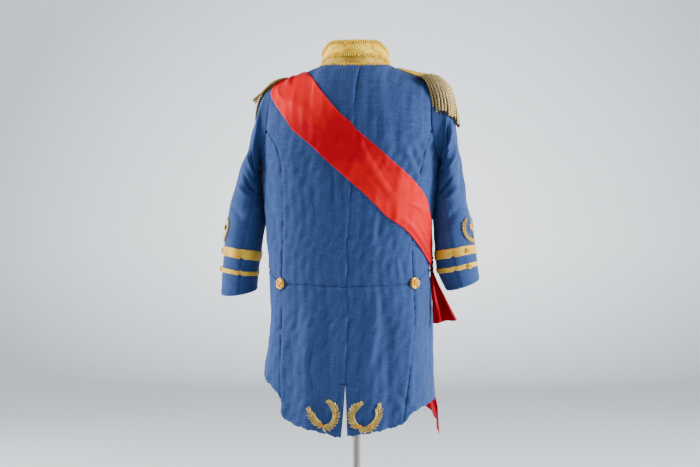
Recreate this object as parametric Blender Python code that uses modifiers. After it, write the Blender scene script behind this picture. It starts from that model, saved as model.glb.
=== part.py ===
"""A court uniform coat with its sash, on a limbless dress form stand.

Metres, +Z up, origin at the middle of the base's underside. The wearer faces -Y, and +X is the
wearer's left. A place on the coat is a turn and a level: turn 0 is the centre back, 1 the left side,
2 the centre front and -1 the right side, and the level is a height up to the chest line, and past it
the way over the shoulder up to the shoulder seam.
"""

import math
from collections import namedtuple

import bmesh
import bpy
from mathutils import Matrix, Vector

# Driving sizes
CLOTH = 0.002
SEAM_GAP = 0.0003
WAIST_GAP = 0.0005
ARMHOLE_GAP = 0.0008
SIDE_POWER = 2.5
CHEST = 1.29
SHOULDER = 1.39
SHOULDER_EDGE = 1.3893
NECK_HALF_WIDTH = 0.086
NECK_BACK = 0.070
NECK_FRONT = 0.075
NECK_LEVEL = 1.4575
NECK_DROP_BACK = 0.006
NECK_DROP_FRONT = 0.030
NECK_Y = -0.005
SHOULDER_SLOPE = 0.400
SHOULDER_SHIFT = 0.002
POLE_RADIUS = 0.0096
BASE_RADIUS = 0.19
BASE_HEIGHT = 0.012
FORM_BOTTOM = 0.80
NECK_CAP_TOP = 1.480

# Body of the coat: one row a level
Section = namedtuple("Section", "level shift half_width back front")
SECTIONS = (
    Section(0.50, 0.017, 0.217, 0.150, 0.140),
    Section(0.62, 0.018, 0.213, 0.150, 0.140),
    Section(0.70, 0.019, 0.211, 0.149, 0.138),
    Section(0.76, 0.015, 0.206, 0.146, 0.136),
    Section(0.83, 0.012, 0.202, 0.142, 0.133),
    Section(0.91, 0.016, 0.200, 0.138, 0.130),
    Section(0.95, 0.0175, 0.200, 0.134, 0.128),
    Section(1.02, 0.020, 0.203, 0.132, 0.130),
    Section(1.12, 0.018, 0.212, 0.136, 0.136),
    Section(1.21, 0.014, 0.221, 0.138, 0.138),
    Section(1.30, 0.013, 0.222, 0.138, 0.138),
)

# Soft vertical folds: where each lies, how wide in turns and how deep it stands
Fold = namedtuple("Fold", "turn width depth low high")
FOLDS = (
    Fold(0.30, 0.07, 0.0035, 0.50, 0.88),
    Fold(0.47, 0.06, -0.0030, 0.50, 0.86),
    Fold(0.74, 0.08, 0.0045, 0.50, 0.90),
    Fold(0.92, 0.06, -0.0040, 0.50, 0.88),
    Fold(-0.22, 0.07, 0.0030, 0.50, 0.87),
    Fold(-0.38, 0.05, -0.0035, 0.50, 0.85),
    Fold(-0.56, 0.07, 0.0045, 0.50, 0.90),
    Fold(-0.84, 0.08, -0.0040, 0.50, 0.88),
    Fold(1.20, 0.08, 0.0040, 0.50, 0.90),
    Fold(1.42, 0.06, -0.0035, 0.60, 0.90),
    Fold(-1.22, 0.08, 0.0040, 0.50, 0.90),
    Fold(-1.40, 0.06, -0.0035, 0.60, 0.90),
    Fold(0.12, 0.05, -0.0020, 1.02, 1.20),
    Fold(-0.45, 0.05, 0.0025, 1.00, 1.25),
    Fold(0.42, 0.06, 0.0020, 0.98, 1.22),
)

# Seams and edges of the coat, each as turn by level, or level by turn
CENTRE_BACK = ((0.90, -0.015), (1.12, -0.050), (1.31, -0.065), (1.39, -0.070))
PRINCESS = {
    1: ((0.91, 0.615), (0.94, 0.605), (1.01, 0.573), (1.09, 0.545), (1.14, 0.540), (1.22, 0.565),
        (1.26, 0.622), (1.291, 0.735)),
    -1: ((0.91, 0.637), (0.94, 0.630), (1.02, 0.625), (1.10, 0.615), (1.18, 0.630), (1.22, 0.650),
         (1.26, 0.690), (1.291, 0.742)),
}
ARMHOLE = ((1.215, 1.0), (1.219, 0.932), (1.231, 0.862), (1.250, 0.802), (1.270, 0.768),
           (1.291, 0.748), (1.33, 0.725), (1.36, 0.728), (1.39, 0.750))
WAIST = ((0.0, 0.910), (0.40, 0.915), (0.62, 0.919), (0.80, 0.941), (1.0, 0.955), (1.5, 0.952),
         (2.0, 0.940))
HEM_BACK = {
    1: ((0.0, 0.546), (0.20, 0.561), (0.385, 0.573), (0.50, 0.586), (0.56, 0.600)),
    -1: ((0.0, 0.551), (0.135, 0.557), (0.275, 0.564), (0.38, 0.571), (0.485, 0.579)),
}
HEM_SIDE = {
    1: ((0.56, 0.6355), (0.62, 0.657), (0.69, 0.670), (0.775, 0.684), (0.96, 0.694), (1.10, 0.716)),
    -1: ((0.488, 0.579), (0.56, 0.602), (0.66, 0.615), (0.805, 0.624), (1.0, 0.630), (1.10, 0.645)),
}
SKIRT_SEAM = {
    1: ((0.600, 0.560), (0.683, 0.565), (0.745, 0.590), (0.808, 0.619), (0.919, 0.612)),
    -1: ((0.578, 0.490), (0.700, 0.560), (0.835, 0.617), (0.914, 0.637)),
}
# Skirt edges by the share of the way from waist to hem
SKIRT_FRONT = ((0.0, 1.62), (0.30, 1.46), (0.60, 1.28), (1.0, 1.06))
VENT = {
    1: ((0.0, -0.0155), (0.62, -0.0150), (0.70, -0.0110), (1.0, 0.025)),
    -1: ((0.0, -0.0155), (0.62, -0.0150), (0.70, -0.0190), (1.0, -0.027)),
}

# Levels at which the bodice panels have their points, and those of them round the armhole
BODICE_LEVELS = (1.0, 1.05, 1.10, 1.15, 1.215, 1.219, 1.231, 1.250, 1.270, 1.285, 1.31, 1.335, 1.365,
                 SHOULDER)
ARMHOLE_LEVELS = BODICE_LEVELS[4:]

# Sleeves: one row a ring from the armhole to the cuff. Outer and inner are the ring's two ends seen
# from behind, as distances from the middle plane and heights.
Ring = namedtuple("Ring", "outer outer_level inner inner_level middle half_depth")
SLEEVES = {
    1: (
        Ring(0.2280, 1.392, 0.2392, 1.2165, -0.004, 0.067),
        Ring(0.2430, 1.362, 0.2400, 1.2110, -0.005, 0.073),
        Ring(0.2520, 1.325, 0.2398, 1.2030, -0.006, 0.077),
        Ring(0.2620, 1.285, 0.2402, 1.1970, -0.008, 0.079),
        Ring(0.2715, 1.247, 0.2402, 1.1880, -0.010, 0.079),
        Ring(0.2870, 1.210, 0.2400, 1.1720, -0.012, 0.078),
        Ring(0.2960, 1.175, 0.2390, 1.1500, -0.014, 0.077),
        Ring(0.3045, 1.140, 0.2380, 1.1250, -0.016, 0.074),
        Ring(0.3160, 1.100, 0.2365, 1.0930, -0.019, 0.071),
        Ring(0.3250, 1.058, 0.2370, 1.0520, -0.023, 0.067),
        Ring(0.3310, 1.010, 0.2440, 0.9970, -0.027, 0.063),
        Ring(0.3340, 0.968, 0.2510, 0.9550, -0.031, 0.060),
        Ring(0.3370, 0.928, 0.2540, 0.9210, -0.035, 0.058),
        Ring(0.3400, 0.886, 0.2570, 0.8970, -0.038, 0.056),
    ),
    -1: (
        Ring(0.2220, 1.394, 0.2112, 1.2165, -0.004, 0.067),
        Ring(0.2360, 1.365, 0.2120, 1.2110, -0.005, 0.073),
        Ring(0.2455, 1.328, 0.2118, 1.2030, -0.006, 0.077),
        Ring(0.2505, 1.288, 0.2120, 1.1970, -0.008, 0.079),
        Ring(0.2555, 1.250, 0.2118, 1.1880, -0.010, 0.079),
        Ring(0.2620, 1.215, 0.2100, 1.1720, -0.012, 0.078),
        Ring(0.2680, 1.178, 0.2060, 1.1500, -0.014, 0.077),
        Ring(0.2730, 1.140, 0.2025, 1.1250, -0.016, 0.074),
        Ring(0.2790, 1.100, 0.1995, 1.0930, -0.019, 0.071),
        Ring(0.2870, 1.060, 0.1970, 1.0480, -0.023, 0.067),
        Ring(0.2950, 1.012, 0.1965, 0.9950, -0.027, 0.063),
        Ring(0.3000, 0.975, 0.1990, 0.9550, -0.031, 0.060),
        Ring(0.3035, 0.948, 0.2080, 0.9270, -0.035, 0.058),
        Ring(0.3060, 0.925, 0.2230, 0.8990, -0.038, 0.056),
    ),
}
LAST_RING = len(SLEEVES[1])
SLEEVE_BACK_SEAM = ((0, 0.36), (7, 0.37), (9, 0.32), (11, 0.275), (LAST_RING, 0.265))
SLEEVE_FRONT_SEAM = 0.66
WIDE_BAND = {1: (11.06, 11.60), -1: (11.00, 11.52)}
NARROW_BAND = {1: (12.32, 12.60), -1: (12.12, 12.50)}
CUFF_BUTTON_ROUND = {1: 0.035, -1: 0.150}
SLEEVE_SPRAY_ROUND = {1: 0.035, -1: 0.075}
SLEEVE_SPRAY_RING = 10.10

# Sash: one row across it, from the shoulder seam to the hip
Across = namedtuple("Across", "upper_turn upper_level lower_turn lower_level")
SASH = (
    Across(0.452, 1.390, 0.565, 1.390),
    Across(0.395, 1.374, 0.665, 1.372),
    Across(0.340, 1.355, 0.715, 1.352),
    Across(0.275, 1.341, 0.680, 1.336),
    Across(0.220, 1.330, 0.590, 1.317),
    Across(0.130, 1.316, 0.435, 1.288),
    Across(0.040, 1.304, 0.285, 1.252),
    Across(-0.060, 1.293, 0.180, 1.222),
    Across(-0.165, 1.268, 0.070, 1.193),
    Across(-0.275, 1.240, -0.045, 1.164),
    Across(-0.385, 1.211, -0.165, 1.135),
    Across(-0.505, 1.183, -0.270, 1.106),
    Across(-0.625, 1.154, -0.375, 1.078),
    Across(-0.740, 1.123, -0.540, 1.048),
    Across(-0.840, 1.080, -0.700, 1.008),
    Across(-0.915, 1.030, -0.840, 0.972),
    Across(-0.965, 0.990, -0.930, 0.958),
)
SASH_COLUMNS = 5
SASH_UNDER = 0.0012
SASH_TOP = 0.0026
SASH_RIPPLE = 0.0006
TIE_OUT = 0.0070
TIE_UNDER = 0.0006
TIE_FOOT = 0.950
TIE_TOP = 0.998

# Leaf sprays on the coat tails: the stem as turns and levels, tip to tip
TAIL_SPRAY = {
    1: ((0.292, 0.620), (0.258, 0.597), (0.205, 0.580), (0.155, 0.5735), (0.108, 0.578), (0.074, 0.592),
        (0.066, 0.610), (0.092, 0.627), (0.140, 0.638)),
    -1: ((-0.165, 0.634), (-0.100, 0.622), (-0.066, 0.604), (-0.085, 0.583), (-0.140, 0.5705),
         (-0.195, 0.5710), (-0.243, 0.581), (-0.285, 0.600), (-0.296, 0.628)),
}
SPRAY_HALF_WIDTH = 0.0095
SLEEVE_SPRAY_HALF_WIDTH = 0.0062
SPRAY_TOP = (0.0022, 0.0030)
SPRAY_UNDER = (0.0008, 0.0008)
LEAVES = 11

# Buttons: radius, and how far their backs lie off the face they are sewn to
WAIST_BUTTON = 0.0138
FRONT_BUTTON = 0.0110
CUFF_BUTTON = 0.0078
BUTTON_SEAT = 0.0006
FRONT_BUTTON_LEVELS = (0.975, 1.040, 1.105, 1.335)


def smooth(points, at):
    """The value at a place, on a smooth curve through the points of a short table."""
    if at <= points[0][0]:
        return points[0][1]
    if at >= points[-1][0]:
        return points[-1][1]
    first = max(k for k in range(len(points) - 1) if points[k][0] <= at)

    def slope(k):
        before, after = points[max(k - 1, 0)], points[min(k + 1, len(points) - 1)]
        return (after[1] - before[1]) / (after[0] - before[0])

    (start, low), (end, high) = points[first], points[first + 1]
    span = end - start
    t = (at - start) / span
    return (
        (2 * t**3 - 3 * t**2 + 1) * low
        + (t**3 - 2 * t**2 + t) * span * slope(first)
        + (-2 * t**3 + 3 * t**2) * high
        + (t**3 - t**2) * span * slope(first + 1)
    )


def mix(low, high, share):
    return low + (high - low) * share


def row_at(rows, place):
    """A row of numbers between two rows of a table, on smooth curves."""
    columns = [[(k, row[c]) for k, row in enumerate(rows)] for c in range(len(rows[0]))]
    return [smooth(column, place) for column in columns]


def rounded_corner_steps(count=400, depth_share=0.65):
    """Points of a quarter of the body's section, spaced evenly along it."""
    raw = []
    for step in range(count + 1):
        angle = math.pi / 2 * step / count
        raw.append((math.sin(angle) ** (2 / SIDE_POWER), max(math.cos(angle), 0) ** (2 / SIDE_POWER)))
    lengths = [0.0]
    for one, two in zip(raw, raw[1:]):
        lengths.append(lengths[-1] + math.hypot(two[0] - one[0], (two[1] - one[1]) * depth_share))
    across = [(length / lengths[-1], point[0]) for length, point in zip(lengths, raw)]
    along = [(length / lengths[-1], point[1]) for length, point in zip(lengths, raw)]
    return across, along


ACROSS, ALONG = rounded_corner_steps()


def straight(points, at):
    low, high = 0, len(points) - 1
    while high - low > 1:
        middle = (low + high) // 2
        if points[middle][0] <= at:
            low = middle
        else:
            high = middle
    share = (at - points[low][0]) / (points[high][0] - points[low][0])
    return mix(points[low][1], points[high][1], share)


def direction(turn):
    """The place round the body's section for a turn: sideways and backward shares, each -1 to 1."""
    turn = (turn + 2) % 4 - 2
    quarter = abs(turn) if abs(turn) <= 1 else 2 - abs(turn)
    sideways = straight(ACROSS, quarter)
    backward = straight(ALONG, quarter)
    return (math.copysign(sideways, turn), backward if abs(turn) <= 1 else -backward)


SECTION_COLUMNS = [
    [(row.level, row[column]) for row in SECTIONS] for column in range(1, len(Section._fields))
]


NECK_TURN = straight(
    [(sideways, share) for share, sideways in ACROSS], NECK_HALF_WIDTH / smooth(SECTION_COLUMNS[1], CHEST)
)


def ring_point(turn, level):
    shift, half_width, back, front = (smooth(column, level) for column in SECTION_COLUMNS)
    sideways, backward = direction(turn)
    return Vector((shift + half_width * sideways, (back if backward > 0 else front) * backward, level))


def seam_point(turn):
    """The point of the shoulder seam, or of the neck's edge, that a turn leads up to."""
    sideways, backward = direction(turn)
    across = smooth(SECTION_COLUMNS[1], CHEST) * sideways
    if abs(across) > NECK_HALF_WIDTH:
        level = NECK_LEVEL - (abs(across) - NECK_HALF_WIDTH) * SHOULDER_SLOPE
        return Vector((across + SHOULDER_SHIFT, NECK_Y, level))
    share = math.sqrt(1 - (across / NECK_HALF_WIDTH) ** 2)
    if backward > 0:
        return Vector(
            (across + SHOULDER_SHIFT, NECK_Y + share * NECK_BACK, NECK_LEVEL - NECK_DROP_BACK * share**2)
        )
    return Vector(
        (across + SHOULDER_SHIFT, NECK_Y - share * NECK_FRONT, NECK_LEVEL - NECK_DROP_FRONT * share**2)
    )


def body_point(turn, level):
    if level <= CHEST:
        return ring_point(turn, level)
    angle = math.pi / 2 * min((level - CHEST) / (SHOULDER - CHEST), 1)
    low, high = ring_point(turn, CHEST), seam_point(turn)
    return Vector(
        (
            mix(low.x, high.x, 1 - math.cos(angle)),
            high.y + (low.y - high.y) * math.cos(angle),
            mix(low.z, high.z, math.sin(angle)),
        )
    )


def body_normal(turn, level):
    step_turn, step_level = 0.01, 0.002
    high = min(level + step_level, SHOULDER)
    along = body_point(turn, high) - body_point(turn, high - 2 * step_level)
    across = body_point(turn + step_turn, level) - body_point(turn - step_turn, level)
    if across.length < 1e-6:
        across = Vector((1, 0, 0))
    normal = along.cross(across).normalized()
    outward = body_point(turn, level) - Vector((SHOULDER_SHIFT, 0, level - 0.05))
    return normal if normal.dot(outward) > 0 else -normal


def fold_height(turn, level):
    turn = (turn + 2) % 4 - 2
    height = 0.0
    for fold in FOLDS:
        if not fold.low <= level <= fold.high:
            continue
        fade = math.sin(math.pi / 2 * min((fold.high - level) / 0.10, 1)) ** 2
        if fold.low > 0.9:
            fade *= math.sin(math.pi / 2 * min((level - fold.low) / 0.08, 1)) ** 2
        height += fold.depth * fade * math.exp(-(((turn - fold.turn) / fold.width) ** 2))
    return height


def coat_point(turn, level, out=0.0):
    """A point of the coat's outer face, or one raised above it."""
    return body_point(turn, level) + body_normal(turn, level) * (out + fold_height(turn, level))


def armhole_edge(round_share, side, out=0.0):
    """The armhole's edge: 0 at the shoulder seam, a quarter at the back and a half under the arm.

    It runs straight between the levels at which the bodice panels have their points.
    """
    level = mix(ARMHOLE[0][0], SHOULDER, 0.5 + 0.5 * math.cos(2 * math.pi * round_share))
    high = next(k for k, knot in enumerate(ARMHOLE_LEVELS) if knot >= level - 1e-9)
    high = max(high, 1)
    ends = []
    for knot in ARMHOLE_LEVELS[high - 1 : high + 1]:
        turn = smooth(ARMHOLE, knot)
        ends.append(coat_point(side * (turn if round_share % 1 <= 0.5 else 2 - turn), knot, out))
    low_level, high_level = ARMHOLE_LEVELS[high - 1], ARMHOLE_LEVELS[high]
    edge = ends[0].lerp(ends[1], (level - low_level) / (high_level - low_level))
    middle = Vector((side * 0.222 + 0.013, -0.004, 1.30))
    return edge + (middle - edge).normalized() * ARMHOLE_GAP


def sleeve_base(side, round_share, place):
    """A point of a sleeve's outer face. Place 0 is the armhole, and each ring of the table adds 1."""
    angle = 2 * math.pi * round_share
    if place <= 0:
        return armhole_edge(round_share, side)
    ring = Ring(*row_at(SLEEVES[side], max(place - 1, 0)))
    outer = Vector((side * ring.outer, ring.middle, ring.outer_level))
    inner = Vector((side * ring.inner, ring.middle, ring.inner_level))
    point = (outer + inner) / 2 + (outer - inner) / 2 * math.cos(angle)
    point.y += ring.half_depth * math.sin(angle)
    return point if place >= 1 else armhole_edge(round_share, side).lerp(point, place)


def sleeve_point(side, round_share, place, out=0.0):
    if place <= 0:
        return armhole_edge(round_share, side, out)
    step = 0.01
    place = min(place, LAST_RING)
    point = sleeve_base(side, round_share, place)
    along = point - sleeve_base(side, round_share, max(place - 0.2, 0))
    across = sleeve_base(side, round_share + step, place) - sleeve_base(side, round_share - step, place)
    return point + along.cross(across).normalized() * side * out


# Making solids


def material(name, colour, roughness, metallic=0.0):
    found = bpy.data.materials.new(name)
    found.use_nodes = True
    found.diffuse_color = (*colour, 1)
    shader = found.node_tree.nodes["Principled BSDF"]
    shader.inputs["Base Color"].default_value = (*colour, 1)
    shader.inputs["Roughness"].default_value = roughness
    shader.inputs["Metallic"].default_value = metallic
    return found


def add_object(name, mesh_data, finish):
    item = bpy.data.objects.new(name, mesh_data)
    item.data.materials.append(finish)
    PIECES.objects.link(item)
    return item


def mesh_from(name, bm, finish):
    bmesh.ops.recalc_face_normals(bm, faces=bm.faces)
    data = bpy.data.meshes.new(name)
    bm.to_mesh(data)
    bm.free()
    data.shade_smooth()
    data.set_sharp_from_angle(angle=math.radians(40))
    return add_object(name, data, finish)


def wall(name, outer, inner, finish, closed=False):
    """A cloth wall between two grids of points. A closed one goes all round."""
    bm = bmesh.new()
    faces_of = [[[bm.verts.new(point) for point in row] for row in grid] for grid in (outer, inner)]
    top, under = faces_of
    rows, columns = len(outer), len(outer[0])
    spans = [(k, (k + 1) % columns) for k in range(columns if closed else columns - 1)]
    for r in range(rows - 1):
        for a, b in spans:
            bm.faces.new((top[r][a], top[r][b], top[r + 1][b], top[r + 1][a]))
            bm.faces.new((under[r][a], under[r + 1][a], under[r + 1][b], under[r][b]))
    for r in (0, rows - 1):
        for a, b in spans:
            bm.faces.new((top[r][a], under[r][a], under[r][b], top[r][b]))
    if not closed:
        for r in range(rows - 1):
            for c in (0, columns - 1):
                bm.faces.new((top[r][c], top[r + 1][c], under[r + 1][c], under[r][c]))
    return mesh_from(name, bm, finish)


def coat_wall(name, rows, finish, out=0.0, under=-CLOTH):
    """A wall on the coat from rows of turns and levels. Out may be a number or a grid of them."""
    raised = out if isinstance(out, list) else [[out] * len(rows[0])] * len(rows)
    outer = [[coat_point(t, v, h) for (t, v), h in zip(row, line)] for row, line in zip(rows, raised)]
    below = under if isinstance(under, list) else [[under] * len(rows[0])] * len(rows)
    inner = [[coat_point(t, v, h) for (t, v), h in zip(row, line)] for row, line in zip(rows, below)]
    return wall(name, outer, inner, finish)


def turn_gap(turn, level):
    """How many turns half a seam gap takes up."""
    step = 0.02
    length = (body_point(turn + step, level) - body_point(turn, level)).length
    return SEAM_GAP / 2 * step / max(length, 1e-6)


def between(left, right, share, level):
    low = left + turn_gap(left, level)
    high = right - turn_gap(right, level)
    return mix(low, high, share)


# Bodice

BODICE_COLUMNS = 10
PRINCESS_TOP = 1.285


def waist_level(turn):
    return smooth(WAIST, abs((turn + 2) % 4 - 2))


def column_shares(columns, corner=None):
    """Even shares across a panel, or shares with one column that runs up to the neck's corner."""
    if corner is None:
        return [c / columns for c in range(columns + 1)]
    before = round(corner * columns)
    return [corner * c / before if c <= before else mix(corner, 1, (c - before) / (columns - before))
            for c in range(columns + 1)]


def bodice_rows(side, start, end, columns, top_level=SHOULDER):
    """Rows of a bodice panel between two edges, given as functions of the level."""
    corner = None
    if top_level == SHOULDER:
        low, high = start(SHOULDER), end(SHOULDER)
        corner = ((NECK_TURN if high < 1 else 2 - NECK_TURN) - low) / (high - low)
    shares = column_shares(columns, corner)
    rows = []
    levels = [level for level in BODICE_LEVELS if level <= top_level]
    for share in (0.0, 0.5):
        row = []
        for column in shares:
            turn = between(start(0.94), end(0.94), column, 0.94)
            low = waist_level(turn) + WAIST_GAP
            row.append((turn, mix(low, BODICE_LEVELS[0], share)))
        rows.append(row)
    for level in levels:
        lifted = min(level, SHOULDER_EDGE)
        rows.append([(between(start(level), end(level), column, level), lifted) for column in shares])
    return rows if side > 0 else [[(-turn, level) for turn, level in row] for row in rows]


def bodice(side, word):
    def centre(level):
        return side * smooth(CENTRE_BACK, level)

    def princess(level):
        return smooth(PRINCESS[side], level)

    def armhole(level):
        return smooth(ARMHOLE, level)

    def back_outer(level):
        return princess(level) if level < PRINCESS[side][-1][0] else armhole(level)

    def side_outer(level):
        return 1.0 if level < ARMHOLE[0][0] else armhole(level)

    def front_inner(level):
        return 1.0 if level < ARMHOLE[0][0] else 2 - armhole(level)

    def centre_front(level):
        return 2.0

    coat_wall(f"back_{word}", bodice_rows(side, centre, back_outer, BODICE_COLUMNS), BLUE)
    coat_wall(f"side_back_{word}", bodice_rows(side, princess, side_outer, 5, PRINCESS_TOP), BLUE)
    coat_wall(f"front_{word}", bodice_rows(side, front_inner, centre_front, BODICE_COLUMNS), BLUE)


# Skirts

# The side skirt's points lie level with the back skirt's along their seam
BACK_ROWS = 9
BACK_COLUMNS = 9
SIDE_ROWS = {1: 8, -1: 9}
SIDE_COLUMNS = 12


def skirt_rows(side, start, end, columns, hem, count):
    rows = []
    for r in range(count + 1):
        share = r / count
        row = []
        for c in range(columns + 1):
            top, turn, foot = (between(start(s), end(s), c / columns, 0.8) for s in (0, share, 1))
            row.append((side * turn, mix(waist_level(top) - WAIST_GAP, smooth(hem, foot), share)))
        rows.append(row)
    return rows


def skirts(side, word):
    def vent(share):
        return side * smooth(VENT[side], share)

    def back_seam(share):
        return smooth(SKIRT_SEAM[side], mix(SKIRT_SEAM[side][-1][0], HEM_BACK[side][-1][1], share))

    def side_seam(share):
        return smooth(SKIRT_SEAM[side], mix(SKIRT_SEAM[side][-1][0], HEM_SIDE[side][0][1], share))

    def front(share):
        return smooth(SKIRT_FRONT, share)

    back_rows = skirt_rows(side, vent, back_seam, BACK_COLUMNS, HEM_BACK[side], BACK_ROWS)
    side_rows = skirt_rows(side, side_seam, front, SIDE_COLUMNS, HEM_SIDE[side], SIDE_ROWS[side])
    coat_wall(f"skirt_back_{word}", back_rows, BLUE)
    coat_wall(f"skirt_side_{word}", side_rows, BLUE)


# Sleeves

SLEEVE_PLACES = (0, 0.5, 1, 2, 3, 4, 5, 6, 8, 10, 11, 12, 13, LAST_RING)
UPPER_COLUMNS = 12
UNDER_COLUMNS = 6
SLEEVE_SEAM_GAP = 0.0007
BAND_COLUMNS = 24
BAND_UNDER = 0.0014
BAND_TOP = 0.0026
# A height that only gives a direction out of a face
AHEAD = 0.02


def sleeve_wall(name, side, start, end, columns):
    """One of a sleeve's two pieces, between two seams given as functions of the place."""
    grids = []
    for height in (0.0, -CLOTH):
        grid = []
        for place in SLEEVE_PLACES:
            rounds = [mix(start(place), end(place), c / columns) for c in range(columns + 1)]
            grid.append([sleeve_point(side, share, place, height) for share in rounds])
        grids.append(grid)
    return wall(name, grids[0], grids[1], BLUE)


def cuff_band(name, side, places):
    """A gold band that runs all round the sleeve."""
    rounds = [c / BAND_COLUMNS for c in range(BAND_COLUMNS)]
    grids = [
        [[sleeve_point(side, share, place, height) for share in rounds] for place in places]
        for height in (BAND_TOP, BAND_UNDER)
    ]
    return wall(name, grids[0], grids[1], GOLD_SATIN, closed=True)


def sleeve(side, word):
    def back_seam_upper(place):
        return smooth(SLEEVE_BACK_SEAM, place) - SLEEVE_SEAM_GAP

    def back_seam_under(place):
        return smooth(SLEEVE_BACK_SEAM, place) + SLEEVE_SEAM_GAP

    def front_seam_upper(place):
        return SLEEVE_FRONT_SEAM - 1 + SLEEVE_SEAM_GAP

    def front_seam_under(place):
        return SLEEVE_FRONT_SEAM - SLEEVE_SEAM_GAP

    sleeve_wall(f"sleeve_upper_{word}", side, front_seam_upper, back_seam_upper, UPPER_COLUMNS)
    sleeve_wall(f"sleeve_under_{word}", side, back_seam_under, front_seam_under, UNDER_COLUMNS)
    for name, (start, end) in (("wide", WIDE_BAND[side]), ("narrow", NARROW_BAND[side])):
        cuff_band(f"cuff_band_{name}_{word}", side, (start, end))
        spot = (side, CUFF_BUTTON_ROUND[side], (start + end) / 2)
        seat = sleeve_point(*spot, BAND_TOP + SEAM_GAP)
        button(f"cuff_button_{name}_{word}", seat, sleeve_point(*spot, AHEAD), CUFF_BUTTON)


# Buttons


def button(name, seat, ahead, radius):
    """A domed button on a seat point, facing the second point."""
    facing = (ahead - seat).normalized()
    half_height = radius * 0.36
    bm = bmesh.new()
    bmesh.ops.create_uvsphere(bm, u_segments=10, v_segments=5, radius=radius)
    bmesh.ops.scale(bm, vec=(1, 1, half_height / radius), verts=bm.verts)
    turned = facing.to_track_quat("Z", "Y").to_matrix().to_4x4()
    bmesh.ops.transform(bm, matrix=Matrix.Translation(seat + facing * half_height) @ turned, verts=bm.verts)
    return mesh_from(name, bm, GILT)


def coat_button(name, turn, level, radius):
    button(name, coat_point(turn, level, BUTTON_SEAT), coat_point(turn, level, AHEAD), radius)


# Leaf sprays


def spray_grids(stem, surface, half_width):
    """Outer and inner grids of a spray that lies on a surface function of two places and a height."""
    steps = LEAVES * 2
    grids = ([], [])
    for k in range(steps + 1):
        place = k / steps * (len(stem) - 1)
        here = Vector(row_at(stem, place))
        ahead = Vector(row_at(stem, min(place + 0.1, len(stem) - 1)))
        behind = Vector(row_at(stem, max(place - 0.1, 0)))
        origin = surface(here.x, here.y, 0)
        along = (surface(ahead.x, ahead.y, 0) - surface(behind.x, behind.y, 0)).normalized()
        normal = (surface(here.x, here.y, 0.002) - origin).normalized()
        across = along.cross(normal)
        taper = min(1, 0.18 + 2.2 * min(k, steps - k) / steps)
        reach = half_width * taper * (1.0 if k % 2 else 0.60)
        for grid, (edge, ridge) in zip(grids, (SPRAY_TOP, SPRAY_UNDER)):
            row = ((-1, edge), (0, ridge), (1, edge))
            grid.append([origin + across * reach * s + normal * height for s, height in row])
    return grids


def tail_spray(side, word):
    outer, inner = spray_grids(TAIL_SPRAY[side], coat_point, SPRAY_HALF_WIDTH)
    wall(f"tail_spray_{word}", outer, inner, GOLD_THREAD)


def sleeve_spray(side, word):
    middle, ring = SLEEVE_SPRAY_ROUND[side], SLEEVE_SPRAY_RING
    stem = []
    for k in range(9):
        angle = math.radians(mix(-145, 145, k / 8))
        stem.append((middle + 0.080 * math.sin(angle), ring + 0.66 * math.cos(angle)))
    outer, inner = spray_grids(
        stem, lambda share, place, out: sleeve_point(side, share, place, out), SLEEVE_SPRAY_HALF_WIDTH
    )
    wall(f"sleeve_spray_{word}", outer, inner, GOLD_THREAD)
    spot = (side, middle, ring)
    button(f"sleeve_button_{word}", sleeve_point(*spot, 0.0004), sleeve_point(*spot, AHEAD), CUFF_BUTTON)


# Collar

COLLAR_STEPS = 30
COLLAR_HEIGHT = ((0.0, 0.0620), (0.5, 0.0570), (0.70, 0.0440), (1.0, 0.0300), (1.5, 0.0300), (2.0, 0.0320))


def collar_point(angle, share, out):
    """Angle 0 is the centre back. Share 0 is the collar's foot and 1 its top edge."""
    turns = abs(angle) / (math.pi / 2)
    back = math.cos(angle) > 0
    depth = (NECK_BACK if back else NECK_FRONT) + out
    drop = (NECK_DROP_BACK if back else NECK_DROP_FRONT) * math.cos(angle) ** 2
    lean = 1 - 0.05 * share
    height = smooth(COLLAR_HEIGHT, turns)
    foot = NECK_LEVEL - drop + (0.0006 if back else 0.0014)
    return Vector(
        (
            SHOULDER_SHIFT + (NECK_HALF_WIDTH + out) * math.sin(angle) * lean,
            NECK_Y + depth * math.cos(angle) * lean,
            foot + height * share,
        )
    )


def collar_wall(name, low, high, out, under, finish, rows=3):
    """A band round the collar. Low and high are shares of its height, as functions of the angle."""
    reach = math.pi * 0.985
    grids = []
    for height in (out, under):
        grid = []
        for r in range(rows + 1):
            line = []
            for c in range(COLLAR_STEPS + 1):
                angle = mix(-reach, reach, c / COLLAR_STEPS)
                line.append(collar_point(angle, mix(low(angle), high(angle), r / rows), height))
            grid.append(line)
        grids.append(grid)
    return wall(name, grids[0], grids[1], finish)


def collar():
    def arch(angle):
        return 0.10 + 0.50 * max(math.cos(angle), 0) ** 1.3

    collar_wall("collar", lambda a: 0.0, lambda a: 1.0, 0.0, -CLOTH, GOLD_SATIN)
    collar_wall("collar_trim_top", lambda a: 0.90, lambda a: 1.03, 0.0042, 0.0005, GOLD_SATIN, 1)
    collar_wall("collar_trim_middle", arch, lambda a: arch(a) + 0.11, 0.0042, 0.0005, GOLD_SATIN, 1)
    collar_wall("collar_piping", lambda a: 0.012, lambda a: 0.062, 0.0036, 0.0005, GOLD_SATIN, 1)


# Epaulettes: the strap, if it shows, leads to an oval pad, and the fringe hangs from the pad's rim

Pad = namedtuple("Pad", "middle half_length half_width forward strap_start strands first last")
PADS = {
    1: Pad(0.2060, 0.0340, 0.050, 0.016, None, 17, -104, 34),
    -1: Pad(0.1960, 0.0400, 0.056, 0.000, 0.104, 24, -104, 104),
}
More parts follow.
